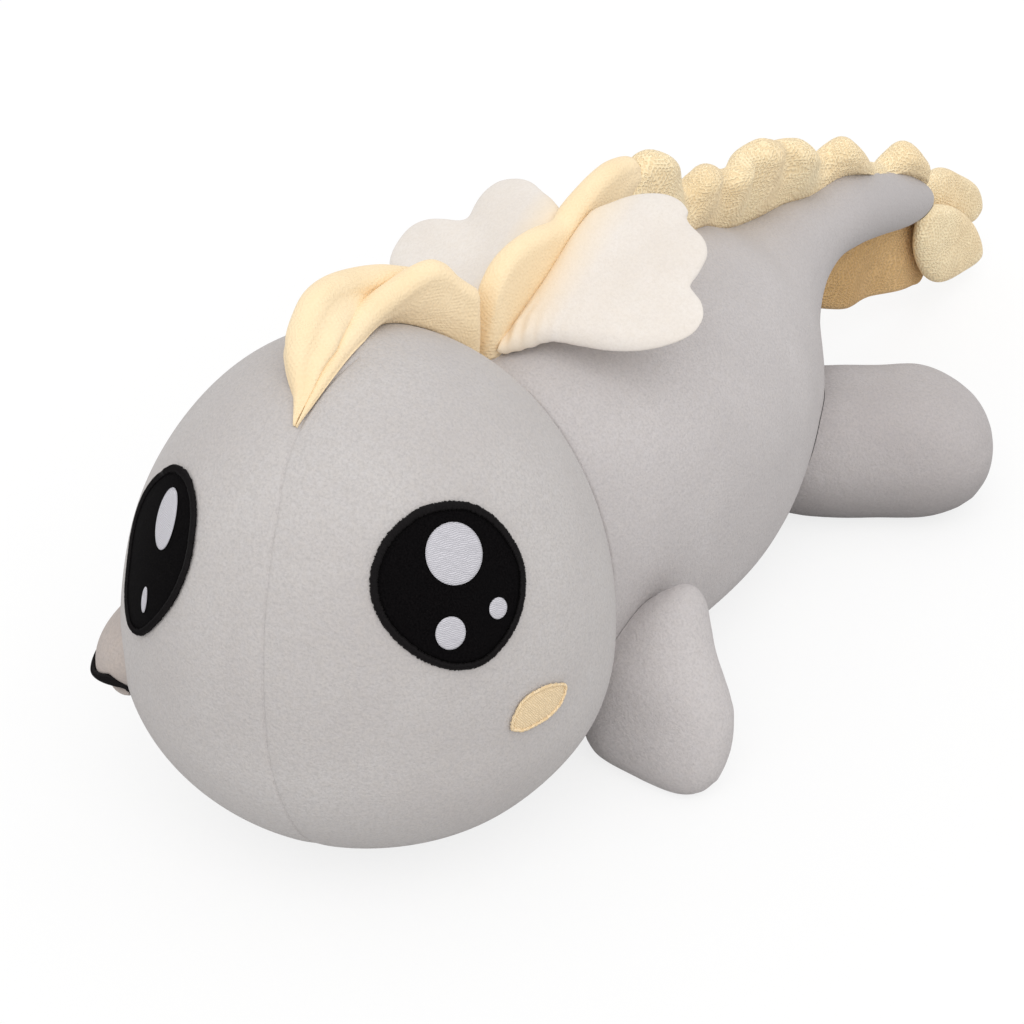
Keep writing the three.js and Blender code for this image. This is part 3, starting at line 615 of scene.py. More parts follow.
def on_head(direction, lift=0.0):
    """The places over the head's surface along directions from its centre."""
    out = unit(direction)
    above = out[..., 2] > 0
    fullness = np.where(above, CROWN_FULLNESS, JOWL_FULLNESS)
    reach = np.where(above, HEAD_CROWN, HEAD_WAIST + FLOOR_DEPTH)
    level = (np.hypot(out[..., 0], out[..., 1]) / HEAD_RADIUS) ** fullness
    distance = (level + (np.abs(out[..., 2]) / reach) ** fullness) ** (-1 / fullness)
    flat = out.reshape(-1, 3)
    soft = HEAD_LUMPS * lumps(flat * HEAD_RADIUS, HEAD_LUMP_LENGTH, 11) - HEAD_TAUT
    return HEAD_CENTRE + out * (distance + lift + soft.reshape(distance.shape))[..., None]


def over_head(points):
    """How far points lie outside the head, along the line from its centre."""
    away = np.asarray(points) - HEAD_CENTRE
    return np.linalg.norm(away, axis=-1) - np.linalg.norm(on_head(away) - HEAD_CENTRE, axis=-1)


# The seam down the face: height over the head's middle and degrees to the dragon's left
SEAM_ROUTE = [
    (-0.6, 20), (-0.27, 17.9), (0.04, 14.8), (0.26, 13.5), (0.51, 12.1), (0.82, 9), (0.95, 2.4), (1, 0),
]
# The seam's cut and the wider valley beside it: depth and width
SEAM_GROOVES = [(0.55, 0.6), (0.35, 4)]


def make_head():
    """The head's cover, with rings of points that crowd along the seam."""
    rows, columns = 200, 360
    share = np.linspace(-1, 1, columns, endpoint=False)
    offset = math.pi * (0.1 * share + 0.9 * share**3)
    level = np.linspace(-math.pi / 2, math.pi / 2, rows + 2)[1:-1, None]
    height = np.broadcast_to(np.sin(level), (rows, columns))
    longitude = np.radians(smooth_through(SEAM_ROUTE)(height)) + offset
    across = np.cos(level)
    direction = np.stack([across * np.sin(longitude), -across * np.cos(longitude), height], -1)
    away = np.abs(offset) * across * HEAD_RADIUS
    groove = -sum(depth * np.exp(-((away / width) ** 2)) for depth, width in SEAM_GROOVES)
    ends = on_head(np.array([[0, 0, -1.0], [0, 0, 1.0]]))
    points, faces = closed_skin(on_head(direction, groove), *ends)
    head = make_mesh("head_skin", rest_on_floor(points), faces)
    nodes = ["head_left_panel", "head_right_panel", "head_filling"]
    finish_piece(head, "head", nodes, body="head")


# Trunk and tail


def trunk_columns():
    """Half width, top, underside and sideways bend of trunk and tail, each along their length."""
    rows = []
    for s, wide, top, under in BODY_SECTIONS:
        low = under * BODY_HEIGHT or -FLOOR_DEPTH
        rows.append((CHEST_PLACE + s * BODY_LENGTH, wide * BODY_HALF_WIDTH, top * BODY_HEIGHT, low, 0))
    for t in (0, 0.28, 0.56, 0.78, 1):
        radius = mix(TAIL_ROOT_RADIUS, TAIL_END_RADIUS, t)
        middle = mix(TAIL_ROOT_HEIGHT, TAIL_TIP_HEIGHT, t**1.1)
        place, aside = TAIL_JOINT + TAIL_LENGTH * t, TAIL_BEND * t * t
        rows.append((place, radius, middle + radius, middle - radius, aside))
    table = np.array(rows)
    return [smooth_through(table[:, [0, k]]) for k in (1, 2, 3, 4)]


trunk_half_width, trunk_top, trunk_underside, trunk_sideways = trunk_columns()

# The share of the tail's length where its end starts to round off
ROUND_FROM = 0.52


def tail_rounding(place):
    """Share of the tail's radius left at a place along the dragon: a round end."""
    t = np.clip((place - TAIL_JOINT) / TAIL_LENGTH, 0, 1)
    over = np.clip((t - ROUND_FROM) / (1 - ROUND_FROM), 0, 1)
    return np.sqrt(1 - over**2)


# The hips swell over the roots of the paddles: middle and reach, along the trunk and in height
HIP_PLACE = (142, 40)
HIP_REACH = (26, 32)
HIP_SWELL = 6.0


def trunk_surface(place, angle):
    """Points on trunk and tail at a place along them and an angle round them."""
    place, angle = np.broadcast_arrays(np.asarray(place, float), np.asarray(angle, float))
    rounding = tail_rounding(place)
    top, under = trunk_top(place), trunk_underside(place)
    on_floor = np.clip((FLOOR_DEPTH - under) / (2 * FLOOR_DEPTH), 0, 1)
    middle, half = (top + under) / 2, (top - under) / 2 * rounding
    bend = np.where(np.sin(angle) < 0, 2 / mix(2, BELLY_FULLNESS, on_floor), 1)
    across, up = (np.sign(part) * np.abs(part) ** bend for part in (np.cos(angle), np.sin(angle)))
    z = middle + half * up
    off_hip = ((place - HIP_PLACE[0]) / HIP_REACH[0]) ** 2 + ((z - HIP_PLACE[1]) / HIP_REACH[1]) ** 2
    wide = trunk_half_width(place) * rounding + HIP_SWELL * np.exp(-off_hip)
    return np.stack([trunk_sideways(place) + wide * across, place, z], -1)


def trunk_height_at(place, x, way=1):
    """Height of the trunk's or tail's top, or with -1 underside, x to the side of its middle."""
    rounding = tail_rounding(place)
    top, under = trunk_top(place), trunk_underside(place)
    share = np.clip(x / np.maximum(trunk_half_width(place) * rounding, 1), -0.98, 0.98)
    return (top + under) / 2 + way * (top - under) / 2 * rounding * np.sqrt(1 - share**2)


def trunk_middle(points):
    """The places on the middle line of trunk and tail beside points."""
    place = points[:, 1]
    return np.stack([trunk_sideways(place), place, (trunk_top(place) + trunk_underside(place)) / 2], 1)


# Unevenness of the trunk's stuffing, as for the head
TRUNK_LUMPS = 0.9
TRUNK_LUMP_LENGTH = 75
TRUNK_TAUT = 0.5


def soft_trunk(points):
    """Light unevenness of the stuffing, none under the crest and along the tail."""
    quiet = np.exp(-((points[:, 0] / 25) ** 2)) * (points[:, 2] > 100)
    quiet = np.maximum(quiet, np.clip((points[:, 1] - 170) / 50, 0, 1))
    swell = (TRUNK_LUMPS * lumps(points, TRUNK_LUMP_LENGTH, 5) - TRUNK_TAUT) * (1 - quiet)
    return points + unit(points - trunk_middle(points)) * swell[:, None]


def tail_places():
    """Places of rings along the tail, closer together towards its tip."""
    u = np.linspace(0, 1, 46)[1:-1]
    return TAIL_JOINT + TAIL_LENGTH * np.sin(u * math.pi / 2) ** 1.2


# From this place on the rings of the trunk stand upright
UPRIGHT_FROM = 60.0


def neck_start(angle):
    """The places where the trunk leaves the head, at angles round it."""
    places = np.arange(CHEST_PLACE, UPRIGHT_FROM, 0.5)
    field = over_head(rest_on_floor(trunk_surface(places[:, None], angle).reshape(-1, 3)))
    blocked = field.reshape(len(places), -1) < JOINT_GAP
    last_blocked = len(places) - 1 - np.argmax(blocked[::-1], axis=0)
    start = places[np.minimum(last_blocked + 1, len(places) - 1)]
    for _ in range(3):
        start = (np.roll(start, 1) + 2 * start + np.roll(start, -1)) / 4
    return start


def seat_on_head(rings, hub):
    """Tucks the front edge in and closes the skin with a cup that follows the head."""
    rim = rings[0]
    cup = [rim + unit(hub - rim) * depth for depth in (3.2, 6)]
    cup += [mix(rim, hub, share) for share in (0.16, 0.35, 0.6, 0.85)]
    seat = [on_head(ring - HEAD_CENTRE, JOINT_GAP + 0.2) for ring in cup]
    tucked = [ring + unit(hub - ring) * draw for ring, draw in zip(rings, (1.6, 0.9, 0.3))]
    return np.concatenate([seat[::-1], tucked, rings[3:]])


def make_trunk():
    angle = np.linspace(0, 2 * math.pi, 220, endpoint=False)
    start = neck_start(angle)
    rows = [mix(start, UPRIGHT_FROM, (i / 70) ** 1.4) for i in range(70)]
    upright = [*np.linspace(UPRIGHT_FROM, TAIL_JOINT, 86), *tail_places()]
    rows += [np.full(len(angle), y) for y in upright]
    rings = np.array([trunk_surface(y, angle) for y in rows])
    rings = rest_on_floor(soft_trunk(rings.reshape(-1, 3))).reshape(rings.shape)
    hub = on_head(np.array([0.0, 1.0, 0.1]), JOINT_GAP)
    points, faces = closed_skin(seat_on_head(rings, hub), hub, TAIL_TIP + [0, -0.3, 0])
    trunk = make_mesh("trunk_skin", rest_above_floor(points), faces)
    nodes = ["trunk_left_panel", "trunk_right_panel", "belly_panel", "trunk_filling"]
    nodes += ["tail_left_panel", "tail_right_panel", "tail_filling"]
    finish_piece(trunk, "body", nodes)
    return trunk


def trunk_cutter(grow):
    """Trunk and tail, grown a little, to cut what is sewn on to them."""
    angle = np.linspace(0, 2 * math.pi, 120, endpoint=False)
    places = np.concatenate([np.arange(CHEST_PLACE, TAIL_JOINT, 3.0), tail_places()])
    skin = soft_trunk(trunk_surface(places[:, None], angle).reshape(-1, 3))
    skin = skin + unit(skin - trunk_middle(skin)) * grow
    rings = skin.reshape(len(places), -1, 3)
    return make_mesh("cutter", *closed_skin(rings, [0, CHEST_PLACE, HEAD_WAIST], TAIL_TIP + [0, grow, 0]))


# Stuffed limbs


def pad(outline, half, fullness, rings=26, inset=0.0):
    """A stuffed pad: an outline round (0, 0), swollen to both sides of its plane."""
    reach = np.sin(np.linspace(0, math.pi / 2, rings + 1)[1:])
    outline = outline * (1 - inset / np.linalg.norm(outline, axis=1))[:, None]
    swell = (half - inset) * np.sqrt(np.maximum(1 - reach**fullness, 0))
    layers = [*zip(reach, swell), *zip(reach[-2::-1], -swell[-2::-1])]
    rings = [np.column_stack([outline * r, np.full(len(outline), z)]) for r, z in layers]
    return closed_skin(rings, [0, 0, half - inset], [0, 0, inset - half])


def put(points, origin, across, along):
    """Points drawn in a plane, put where they belong."""
    across, along = unit(across), unit(along)
    normal = np.cross(across, along)
    return origin + points[:, :1] * across + points[:, 1:2] * along + points[:, 2:3] * normal


def mirror(points, side):
    return points * ([1, 1, 1] if side == "left" else [-1, 1, 1])


flipper_root = trunk_half_width(FLIPPER_PLACE) - FLIPPER_PIVOT_DEPTH
flipper_pivot = np.array([flipper_root, FLIPPER_PLACE, FLIPPER_PIVOT_HEIGHT])
flipper_shift = [FLIPPER_LENGTH * 0.33, -FLIPPER_THICKNESS * 0.09, -FLIPPER_PIVOT_HEIGHT * 0.4]
flipper_middle = flipper_pivot + flipper_shift
flipper_up = np.array([0, math.sin(math.radians(FLIPPER_SLANT)), math.cos(math.radians(FLIPPER_SLANT))])
# A flipper thins towards its foot and its top: shares of the thickness, over this height from its middle
FLIPPER_FOOT = 0.8
FLIPPER_TOP = 0.85
FLIPPER_TAPER = 42


def flipper_shape(inset):
    x, _, z = flipper_pivot
    root = FLIPPER_ROOT
    reach = x + FLIPPER_LENGTH
    route = [
        (x - root * 0.7, z - root * 0.2),
        (x, z + root * 0.12),
        (x + root * 1.15, z + root * 0.92),
        (reach - FLIPPER_LENGTH * 0.3, z * 0.96),
        (reach - FLIPPER_LENGTH * 0.05, z * 0.6),
        (reach, z * 0.3),
        (reach - FLIPPER_LENGTH * 0.07, z * 0.06),
        (reach - FLIPPER_LENGTH * 0.24, -FLOOR_DEPTH * 0.8),
        (x + root, -FLOOR_DEPTH),
        (x, 0),
        (x - root * 0.75, z * 0.45),
        (x - root, z),
    ]
    flat = [(a - flipper_middle[0], (h - flipper_middle[2]) / flipper_up[2]) for a, h in route]
    points, faces = pad(smooth_loop(flat, 120), FLIPPER_THICKNESS / 2, 2.8, inset=inset)
    up = points[:, 1]
    points[:, 2] *= mix(FLIPPER_FOOT, 1.0, np.clip((up + FLIPPER_TAPER) / FLIPPER_TAPER, 0, 1))
    points[:, 2] *= mix(1.0, FLIPPER_TOP, np.clip(up / FLIPPER_TAPER, 0, 1))
    return put(points, flipper_middle, [1, 0, 0], flipper_up), faces


paddle_pivot = np.array([trunk_half_width(PADDLE_PLACE) - PADDLE_PIVOT_DEPTH, PADDLE_PLACE, 0.0])
paddle_middle = paddle_pivot + [PADDLE_LENGTH * 0.45, 0, PADDLE_THICKNESS / 2 - FLOOR_DEPTH]


def paddle_shape(inset):
    x, y, _ = paddle_pivot
    root, half = PADDLE_ROOT, PADDLE_WIDTH / 2
    reach = x + PADDLE_LENGTH
    route = [
        (x - root * 0.7, y + root * 0.4),
        (x + root * 0.5, y + half * 0.76),
        (x + PADDLE_LENGTH * 0.42, y + half * 1.2),
        (reach - PADDLE_LENGTH * 0.19, y + half * 0.98),
        (reach + 2.5, y + half * 0.28),
        (reach - PADDLE_LENGTH * 0.05, y - half * 0.27),
        (reach - PADDLE_LENGTH * 0.37, y - half * 0.8),
        (x + root, y - half * 1.28),
        (x, y - half * 1.46),
        (x - root * 0.75, y - root * 0.7),
        (x - root, y),
    ]
    flat = np.array(route) - paddle_middle[:2]
    points, faces = pad(smooth_loop(flat, 120), PADDLE_THICKNESS / 2, 3.0, inset=inset)
    return put(points, paddle_middle, [1, 0, 0], [0, 1, 0]), faces


# How much smaller a pad starts than it ends, with simulation and without, and how far its cloth may move
PAD_START = 3.0
PAD_MOVE = 6.0
PAD_VOXEL = 4.5
CLOTH_FRAMES = 20
CLOTH = {
    "quality": 6,
    "mass": 0.3,
    "tension_stiffness": 12,
    "compression_stiffness": 12,
    "bending_stiffness": 0.6,
    "use_pressure": True,
    "uniform_pressure_force": 4,
}


def start_cloth(piece):
    """Remeshes a pad and sets up its cloth; gives the places where its points start."""
    remesh = piece.modifiers.new("remesh", "REMESH")
    remesh.mode = "VOXEL"
    remesh.voxel_size = PAD_VOXEL * MM
    apply_modifiers(piece)
    cloth = piece.modifiers.new("cloth", "CLOTH")
    for setting, value in CLOTH.items():
        setattr(cloth.settings, setting, value)
    cloth.settings.effector_weights.gravity = 0
    cloth.collision_settings.use_collision = False
    cloth.point_cache.frame_start = 1
    cloth.point_cache.frame_end = CLOTH_FRAMES
    return points_of(piece)


def swell_pads(pads):
    """Fills the pads with a cloth simulation, all in one run."""
    starts = [start_cloth(piece) for piece in pads]
    for step in range(1, CLOTH_FRAMES + 1):
        bpy.context.scene.frame_set(step)
    for piece, start in zip(pads, starts):
        apply_modifiers(piece)
        move = points_of(piece) - start
        length = np.linalg.norm(move, axis=1, keepdims=True)
        set_points(piece, start + move * np.minimum(1, PAD_MOVE / np.maximum(length, 1e-6)))
        piece.modifiers.new("subdivide", "SUBSURF").levels = 2
        apply_modifiers(piece)
    bpy.context.scene.frame_set(1)


def clear_of_head(points, side):
    """Moves a flipper's points tailwards until they clear the head, also with the flipper lifted."""
    pivot = mirror(flipper_pivot, side)
    axis = (0, -1, 0) if side == "left" else (0, 1, 0)
    for lift in (0, FLIPPER_LIFT / 2, FLIPPER_LIFT):
        for _ in range(12):
            missing = np.maximum(JOINT_GAP + 0.4 - over_head(turn(points, lift, axis, pivot)), 0)
            if missing.max() < 0.05:
                break
            points = points + missing[:, None] * [0, 1, 0]
    return points


# A point just outside the paddle's seam, and the way the flank faces there
HIP_SEAM = (52.5, 143, 30)
HIP_SLANT = (2, 1, 0)
# How deep a limb and the flank are drawn in along their seam, and how far beside it
SEAM_DRAW = 0.12
SEAM_WIDTH = 4
# Shape, look and parts of each kind of limb, and on the left where its root starts to bend and how far
LIMBS = {
    "flipper": (flipper_shape, "body", ("rear_panel", "front_panel", "filling"),
                flipper_pivot + [9, 0, 0], np.array([26, 0, 0])),
    "paddle": (paddle_shape, "hind", ("upper_panel", "lower_panel", "filling"),
               np.array(HIP_SEAM), unit(HIP_SLANT) * 32),
}


def settle_limb(piece, kind, side, trunk):
    """Cuts a limb to the flank and draws both in along their seam."""
    _, look, parts, bend_start, bend_way = LIMBS[kind]
    points = points_of(piece)
    if kind == "flipper":
        points = clear_of_head(points, side)
    set_points(piece, rest_on_floor(points))
    cut_to_trunk(piece, LIMB_GAP)
    seam = cut_edge_points(piece)
    for sewn in (piece, trunk):
        pull_in(sewn, seam, SEAM_DRAW, SEAM_WIDTH)
    set_points(piece, rest_above_floor(points_of(piece)))
    finish_piece(piece, look, [f"{side}_{kind}_{part}" for part in parts])
    start = mirror(bend_start, side) * MM
    start + mirror(bend_way, side) * MM
    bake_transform(piece)


def make_limbs(trunk):
    limbs = {}
    for kind, (shape, *_) in LIMBS.items():
        points, faces = shape(PAD_START)
        for side in SIDES:
            limbs[side, kind] = make_mesh(f"{side}_{kind}", mirror(points, side), faces)
    swell_pads(list(limbs.values()))
    for side in SIDES:
        for kind in LIMBS:
            settle_limb(limbs[side, kind], kind, side, trunk)


# Crest and fins


def fin(foot_left, foot_right, top, half, corner=7.0, puff=0.8):
    """A padded fin over rows of feet and tops, with rounded corners along its top."""
    foot = (foot_left + foot_right) / 2
    rise = unit(top - foot)
    along = unit(np.gradient(mix(foot, top, 0.5), axis=0))
    side = unit(np.cross(along, rise))
    half = np.asarray(half, float)[:, None]
    corner = np.minimum(corner, half * 0.93)
    rings = []
    for sign, base in ((1, foot_left), (-1, foot_right)):
        out = side * sign
        edge = top + out * half - rise * corner
        rows = []
        for share in np.linspace(0, 1, 12):
            bulge = puff * math.sin(math.pi * share) ** 2 * np.minimum(half / 6, 1)
            rows.append(mix(base, edge, share) + out * bulge)
        centre = top + out * (half - corner) - rise * corner
        for turned in np.linspace(0, math.pi / 2, 7)[1:]:
            rows.append(centre + out * corner * math.cos(turned) + rise * corner * math.sin(turned))
        rings.append(rows if sign == 1 else rows[::-1])
    rows = rings[0] + rings[1]
    rows += [mix(foot_right, foot_left, share) for share in (0.25, 0.5, 0.75)]
    rings = np.stack(rows, axis=1)
    return closed_skin(rings, rings[0].mean(0), rings[-1].mean(0))


def round_ends(places, start, end):
    """From 0 at both ends to 1, rounded over start and end millimetres."""
    first = np.clip((places - places[0]) / start, 0, 1)
    last = np.clip((places[-1] - places) / end, 0, 1)
    return np.sqrt(1 - (1 - first) ** 2) * np.sqrt(1 - (1 - last) ** 2)


NECK_HALF = 5.4
RUFFLE_HALF = 6.6
FIN_STEP = 1.25
# The share of its thickness that a fin keeps at its ends
THIN_END = 0.12

# Top edge of the crest on the neck and on the back: place along the dragon and height
NECK_EDGE = [
    (-61, 176), (-58, 190), (-54, 197), (-48, 202), (-40, 204.5), (-30, 205), (-20, 204), (-12, 202),
    (-5, 201), (2, 205), (12, 208), (22, 210), (32, 210.5), (40, 209), (47, 206.5), (53, 202),
]
BACK_EDGE = [
    (15, 168), (22, 177), (30, 185.5), (38, 193.5), (46, 199), (53, 202.5), (59, 204), (65, 202),
    (73, 196), (80, 189), (85, 180), (90, 171), (95, 170), (102, 172.5),
    (111, 173), (120, 168.5), (128, 162), (135, 158), (142, 159.5), (150, 161.5), (160, 163), (170, 159),
    (181, 152), (189, 150), (196, 147), (204, 140), (213, 132), (220, 128), (227, 131), (233, 132),
    (241, 126), (250, 118), (260, 108), (268, 103), (274, 100), (281, 103), (288, 106), (295, 102),
    (303, 94), (312, 85),
]
# How far the crest on the back swings to the left at its top: place and millimetres
BACK_SWING = [
    (15, 0), (54, 0), (66, 3), (88, -4), (108, 3.5), (128, -4.5), (141, 2), (150, -1), (164, 4),
    (181, -3), (197, 3.5), (217, -4.5), (238, 4.5), (270, -4), (292, 4), (312, 0),
]
# The crest on the neck leaves the trunk towards its rear end, and the ruffle starts under it.
# The ruffle's foot stands to the right of the middle on the rump and tail.
NECK_LIFT = [(-61, 0), (8, 0), (20, 0.12), (36, 0.55), (46, 0.7), (53, 0.74)]
RUFFLE_ASIDE = [(15, 0), (75, 0), (100, -5), (130, -11), (200, -10), (240, -4.5), (312, -3)]


def trunk_fin(name, edge, half, ends, look, nodes, swing=None, lift=None, aside=None):
    """A crest that stands on the trunk under an edge, thicker where it swings to the left."""
    places = np.arange(edge[0][0], edge[-1][0] + 0.1, FIN_STEP)
    aside, sway, height, lift = (values_at(pairs, places) for pairs in (aside, swing, edge, lift))
    foot_height = lambda x: trunk_height_at(places, x + aside) + CREST_GAP
    middle = trunk_sideways(places) + aside
    end = np.maximum(round_ends(places, *ends), THIN_END)
    fade = round_ends(places, *[e * 0.7 for e in ends])
    height = mix(foot_height(0 * places) + 3, height, np.clip(fade, 0, 1))
    feet = []
    for across in (half * end, -half * end):
        foot = mix(foot_height(across), height, np.clip(lift, 0, 0.8))
        feet.append(np.column_stack([middle + across, places, foot]))
    top = np.column_stack([middle - aside * 0.7 + sway, places, height])
    piece = make_mesh(name, *fin(*feet, top, half * (1 + 0.045 * sway) * end))
    finish_piece(piece, look, nodes)
    return piece


def make_crest():
    nodes = covered("neck_crest")
    neck = trunk_fin("neck_crest", NECK_EDGE, NECK_HALF, (7, 9), "crest", nodes, lift=NECK_LIFT)
    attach(neck, "trunk")
    nodes = covered("back_crest", "tail_crest")
    ways = {"swing": BACK_SWING, "aside": RUFFLE_ASIDE}
    back = trunk_fin("back_crest", BACK_EDGE, RUFFLE_HALF, (10, 8), "fin", nodes, **ways)
    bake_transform(back)


# The two folds of the crest on the head: top edge and foot as points
FRONT_TOP = [
    (-0.5, -181.6, 196), (-7, -172, 204), (-13, -166, 213), (-16.5, -159, 220), (-19, -151, 224),
    (-21, -141, 227), (-22, -128, 226), (-22, -112, 221), (-21, -98, 216), (-18, -89, 212), (-14, -78, 207),
]
FRONT_FOOT = [
    (0.2, -181.6), (-3.2, -172), (-8.6, -160), (-16, -142), (-23, -125), (-27, -108), (-24, -90), (-14, -74),
]
REAR_TOP = [
    (1.2, -181.8, 196), (0.3, -172, 202), (-2.8, -157, 208.5), (-6, -144, 211.5), (-8, -133, 213),
    (-9, -117, 214.5), (-9, -103, 215.5), (-8, -92, 217), (-6, -84, 217), (-4, -78, 213), (-2, -73, 206),
    (0, -64, 197),
]
REAR_FOOT = [
    (1.2, -181.8), (0.3, -172), (-2.8, -157), (-7.5, -142), (-14, -123), (-17, -108), (-15, -94), (-8, -79),
    (0, -63),
]
# Top, foot, half thickness, the length over which it opens, and how far its sides bulge
HEAD_FOLDS = {"front": (FRONT_TOP, FRONT_FOOT, 6.5, 34, 4.8), "rear": (REAR_TOP, REAR_FOOT, 5.5, 50, 0.8)}


def head_fin(name, tops, feet, half, opening, puff):
    """A fold of the crest on the head, which opens from a point at its front."""
    top, flat = smooth_path(tops, 90), smooth_path(feet, 90)
    run = np.linspace(0, 1, 90) * np.linalg.norm(np.diff(flat, axis=0), axis=1).sum()
    opened = np.clip(run / opening, 0, 1)
    thick = half * np.maximum(opened**0.9 * round_ends(run, 1, 5), 0.06)
    lean = unit(np.column_stack([np.gradient(flat[:, 1]), -np.gradient(flat[:, 0])]))
    sides = []
    for sign in (1, -1):
        edge = flat + lean * sign * thick[:, None]
        level = (np.hypot(edge[:, 0], edge[:, 1] + HEAD_FORWARD) / HEAD_RADIUS) ** CROWN_FULLNESS
        height = HEAD_WAIST + HEAD_CROWN * (1 - level) ** (1 / CROWN_FULLNESS)
        sides.append(on_head(np.column_stack([edge, height]) - HEAD_CENTRE, SEWN_GAP))
    piece = make_mesh(name, *fin(*sides, top, thick, puff=puff))
    finish_piece(piece, "crest", covered(name), body="head")


# Fins at the tail
LOBE_LENGTH = 72
LOBE_HALF = 6
UPPER_LOBE = [
    (-0.57, 0.27), (-0.18, 0.275), (0.1, 0.11), (0.4, -0.13), (0.51, -0.36),
    (0.38, -0.41), (0.11, -0.25), (-0.19, -0.06), (-0.56, 0.07),
]
LOWER_LOBE = [
    (-0.47, 0.49), (-0.1, 0.36), (0.22, 0.11), (0.43, -0.17), (0.46, -0.32),
    (0.17, -0.305), (-0.17, -0.225), (-0.39, -0.04), (-0.53, 0.24),
]
LOBE_OFFSET = LOBE_HALF + JOINT_GAP / 2
# Outline of each lobe, and its middle from the tail's tip: millimetres aside, then shares of its length
LOBES = {
    "upper_lobe": (UPPER_LOBE, -LOBE_OFFSET, 0.5, -0.235),
    "lower_lobe": (LOWER_LOBE, LOBE_OFFSET, 0.24, -0.47),
}


def make_lobe(name, shares, aside, along, up):
    outline = smooth_loop(np.array(shares) * LOBE_LENGTH, 110)
    points, faces = pad(outline, LOBE_HALF, 5, rings=30)
    shift = [aside, along * LOBE_LENGTH, up * LOBE_LENGTH]
    lobe = make_mesh(name, put(points, TAIL_TIP + shift, [0, 1, 0], [0, 0, 1]), faces)
    cut_to_trunk(lobe, LOBE_GAP)
    finish_piece(lobe, "fin", covered(name), body="tail")


# Lower edge of the keel: place along the dragon and height
KEEL_EDGE = [(217, 46), (232, 38.5), (249, 31), (277, 24), (307, 15), (324, 8), (331, 5)]
KEEL_HALF = 4.8
# The keel's top stays below a line that falls along the tail: place, height and fall
KEEL_CAP = (302, 60, 0.9)


def make_keel():
    """The fin under the tail, hung on its underside and wavy at its lower edge."""
    start = TAIL_JOINT - TAIL_ROOT_RADIUS * 0.7
    end = TAIL_TIP[1] + LOBE_LENGTH * 0.22
    places = np.arange(start, end, FIN_STEP)
    half = KEEL_HALF * np.maximum(round_ends(places, 9, 12), THIN_END)
    middle = -TAIL_BEND + TAIL_BEND * (places - start) / (end - start)
    under = trunk_height_at(places, middle - trunk_sideways(places), -1) - CREST_GAP
    under = np.minimum(under, KEEL_CAP[1] - KEEL_CAP[2] * (places - KEEL_CAP[0]))
    low = mix(under - 2, smooth_through(KEEL_EDGE)(places), round_ends(places, 8, 13))
    feet = [np.column_stack([middle + sign * half, places, under]) for sign in (-1, 1)]
    top = np.column_stack([middle + 2 * np.sin(places / 9), places, low])
    keel = make_mesh("keel", *fin(*feet, top, half))
    finish_piece(keel, "keel", covered("keel"))
    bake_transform(keel)


# Wings
WING_SHARES = {
    "left": [
        (0, 0.03), (0.12, 0.09), (0.25, 0.165), (0.44, 0.205), (0.63, 0.245), (0.81, 0.305), (0.94, 0.38),
        (1.01, 0.46), (1.01, 0.54), (0.95, 0.6), (0.87, 0.635), (0.82, 0.66), (0.83, 0.73), (0.82, 0.81),
        (0.75, 0.87), (0.62, 0.915), (0.56, 0.945), (0.54, 0.98), (0.46, 1.005), (0.34, 1), (0.2, 0.95),
        (0.1, 0.88), (0, 0.78), (0, 0.4),
    ],
    "right": [
        (0, 0.03), (0.12, 0.09), (0.25, 0.15), (0.44, 0.19), (0.63, 0.225), (0.81, 0.28), (0.94, 0.35),
        (1.0, 0.44), (1.015, 0.53), (0.985, 0.61), (0.91, 0.66), (0.8, 0.685), (0.7, 0.7), (0.655, 0.73),
        (0.65, 0.8), (0.627, 0.89), (0.58, 0.95), (0.48, 0.978), (0.37, 0.97), (0.23, 0.92), (0.1, 0.87),
        (0, 0.8), (0, 0.4),
    ],
}
NOTCHES = {"left": [(0.82, 0.66), (0.56, 0.945)], "right": [(0.66, 0.72)]}
WING_CURL = {"left": 1, "right": -6}


# Height of the wing's waves, depth and width of the valleys to its notches and of its rolled front,
# and height and pitch of the gathers at its root
WING_WAVES = 0.8
NOTCH_VALLEY = (1.9, 7.5)
FRONT_ROLL = (5.5, 11)
ROOT_GATHERS = (0.7, 5.5)


def wing_relief(a, b, reach, length, side):
    """How far the wing's middle stands off its plane: soft valleys, curled tips, a rolled front."""
    outer = np.clip(a / reach, 0, 1)
    relief = WING_WAVES * np.sin(b / length * 9 + 0.4) * outer
    start = np.array([reach * 0.1, length * 0.42])
    for across, along in NOTCHES[side]:
        end = np.array([across * reach, along * length])
        way = unit(end - start)
        rel = np.column_stack([a, b]) - start
        t = np.clip(rel @ way / np.linalg.norm(end - start), 0, 1)
        off = rel @ np.array([-way[1], way[0]])
        relief = relief - NOTCH_VALLEY[0] * t**1.2 * np.exp(-((off / NOTCH_VALLEY[1]) ** 2))
    relief = relief - WING_CURL[side] * outer**2
    front = np.clip(1 - (b - length * (0.03 + 0.28 * outer)) / FRONT_ROLL[1], 0, 1)
    return relief - FRONT_ROLL[0] * front**2 * np.clip(outer * 5, 0, 1) * np.clip(1.5 - outer, 0.4, 1)


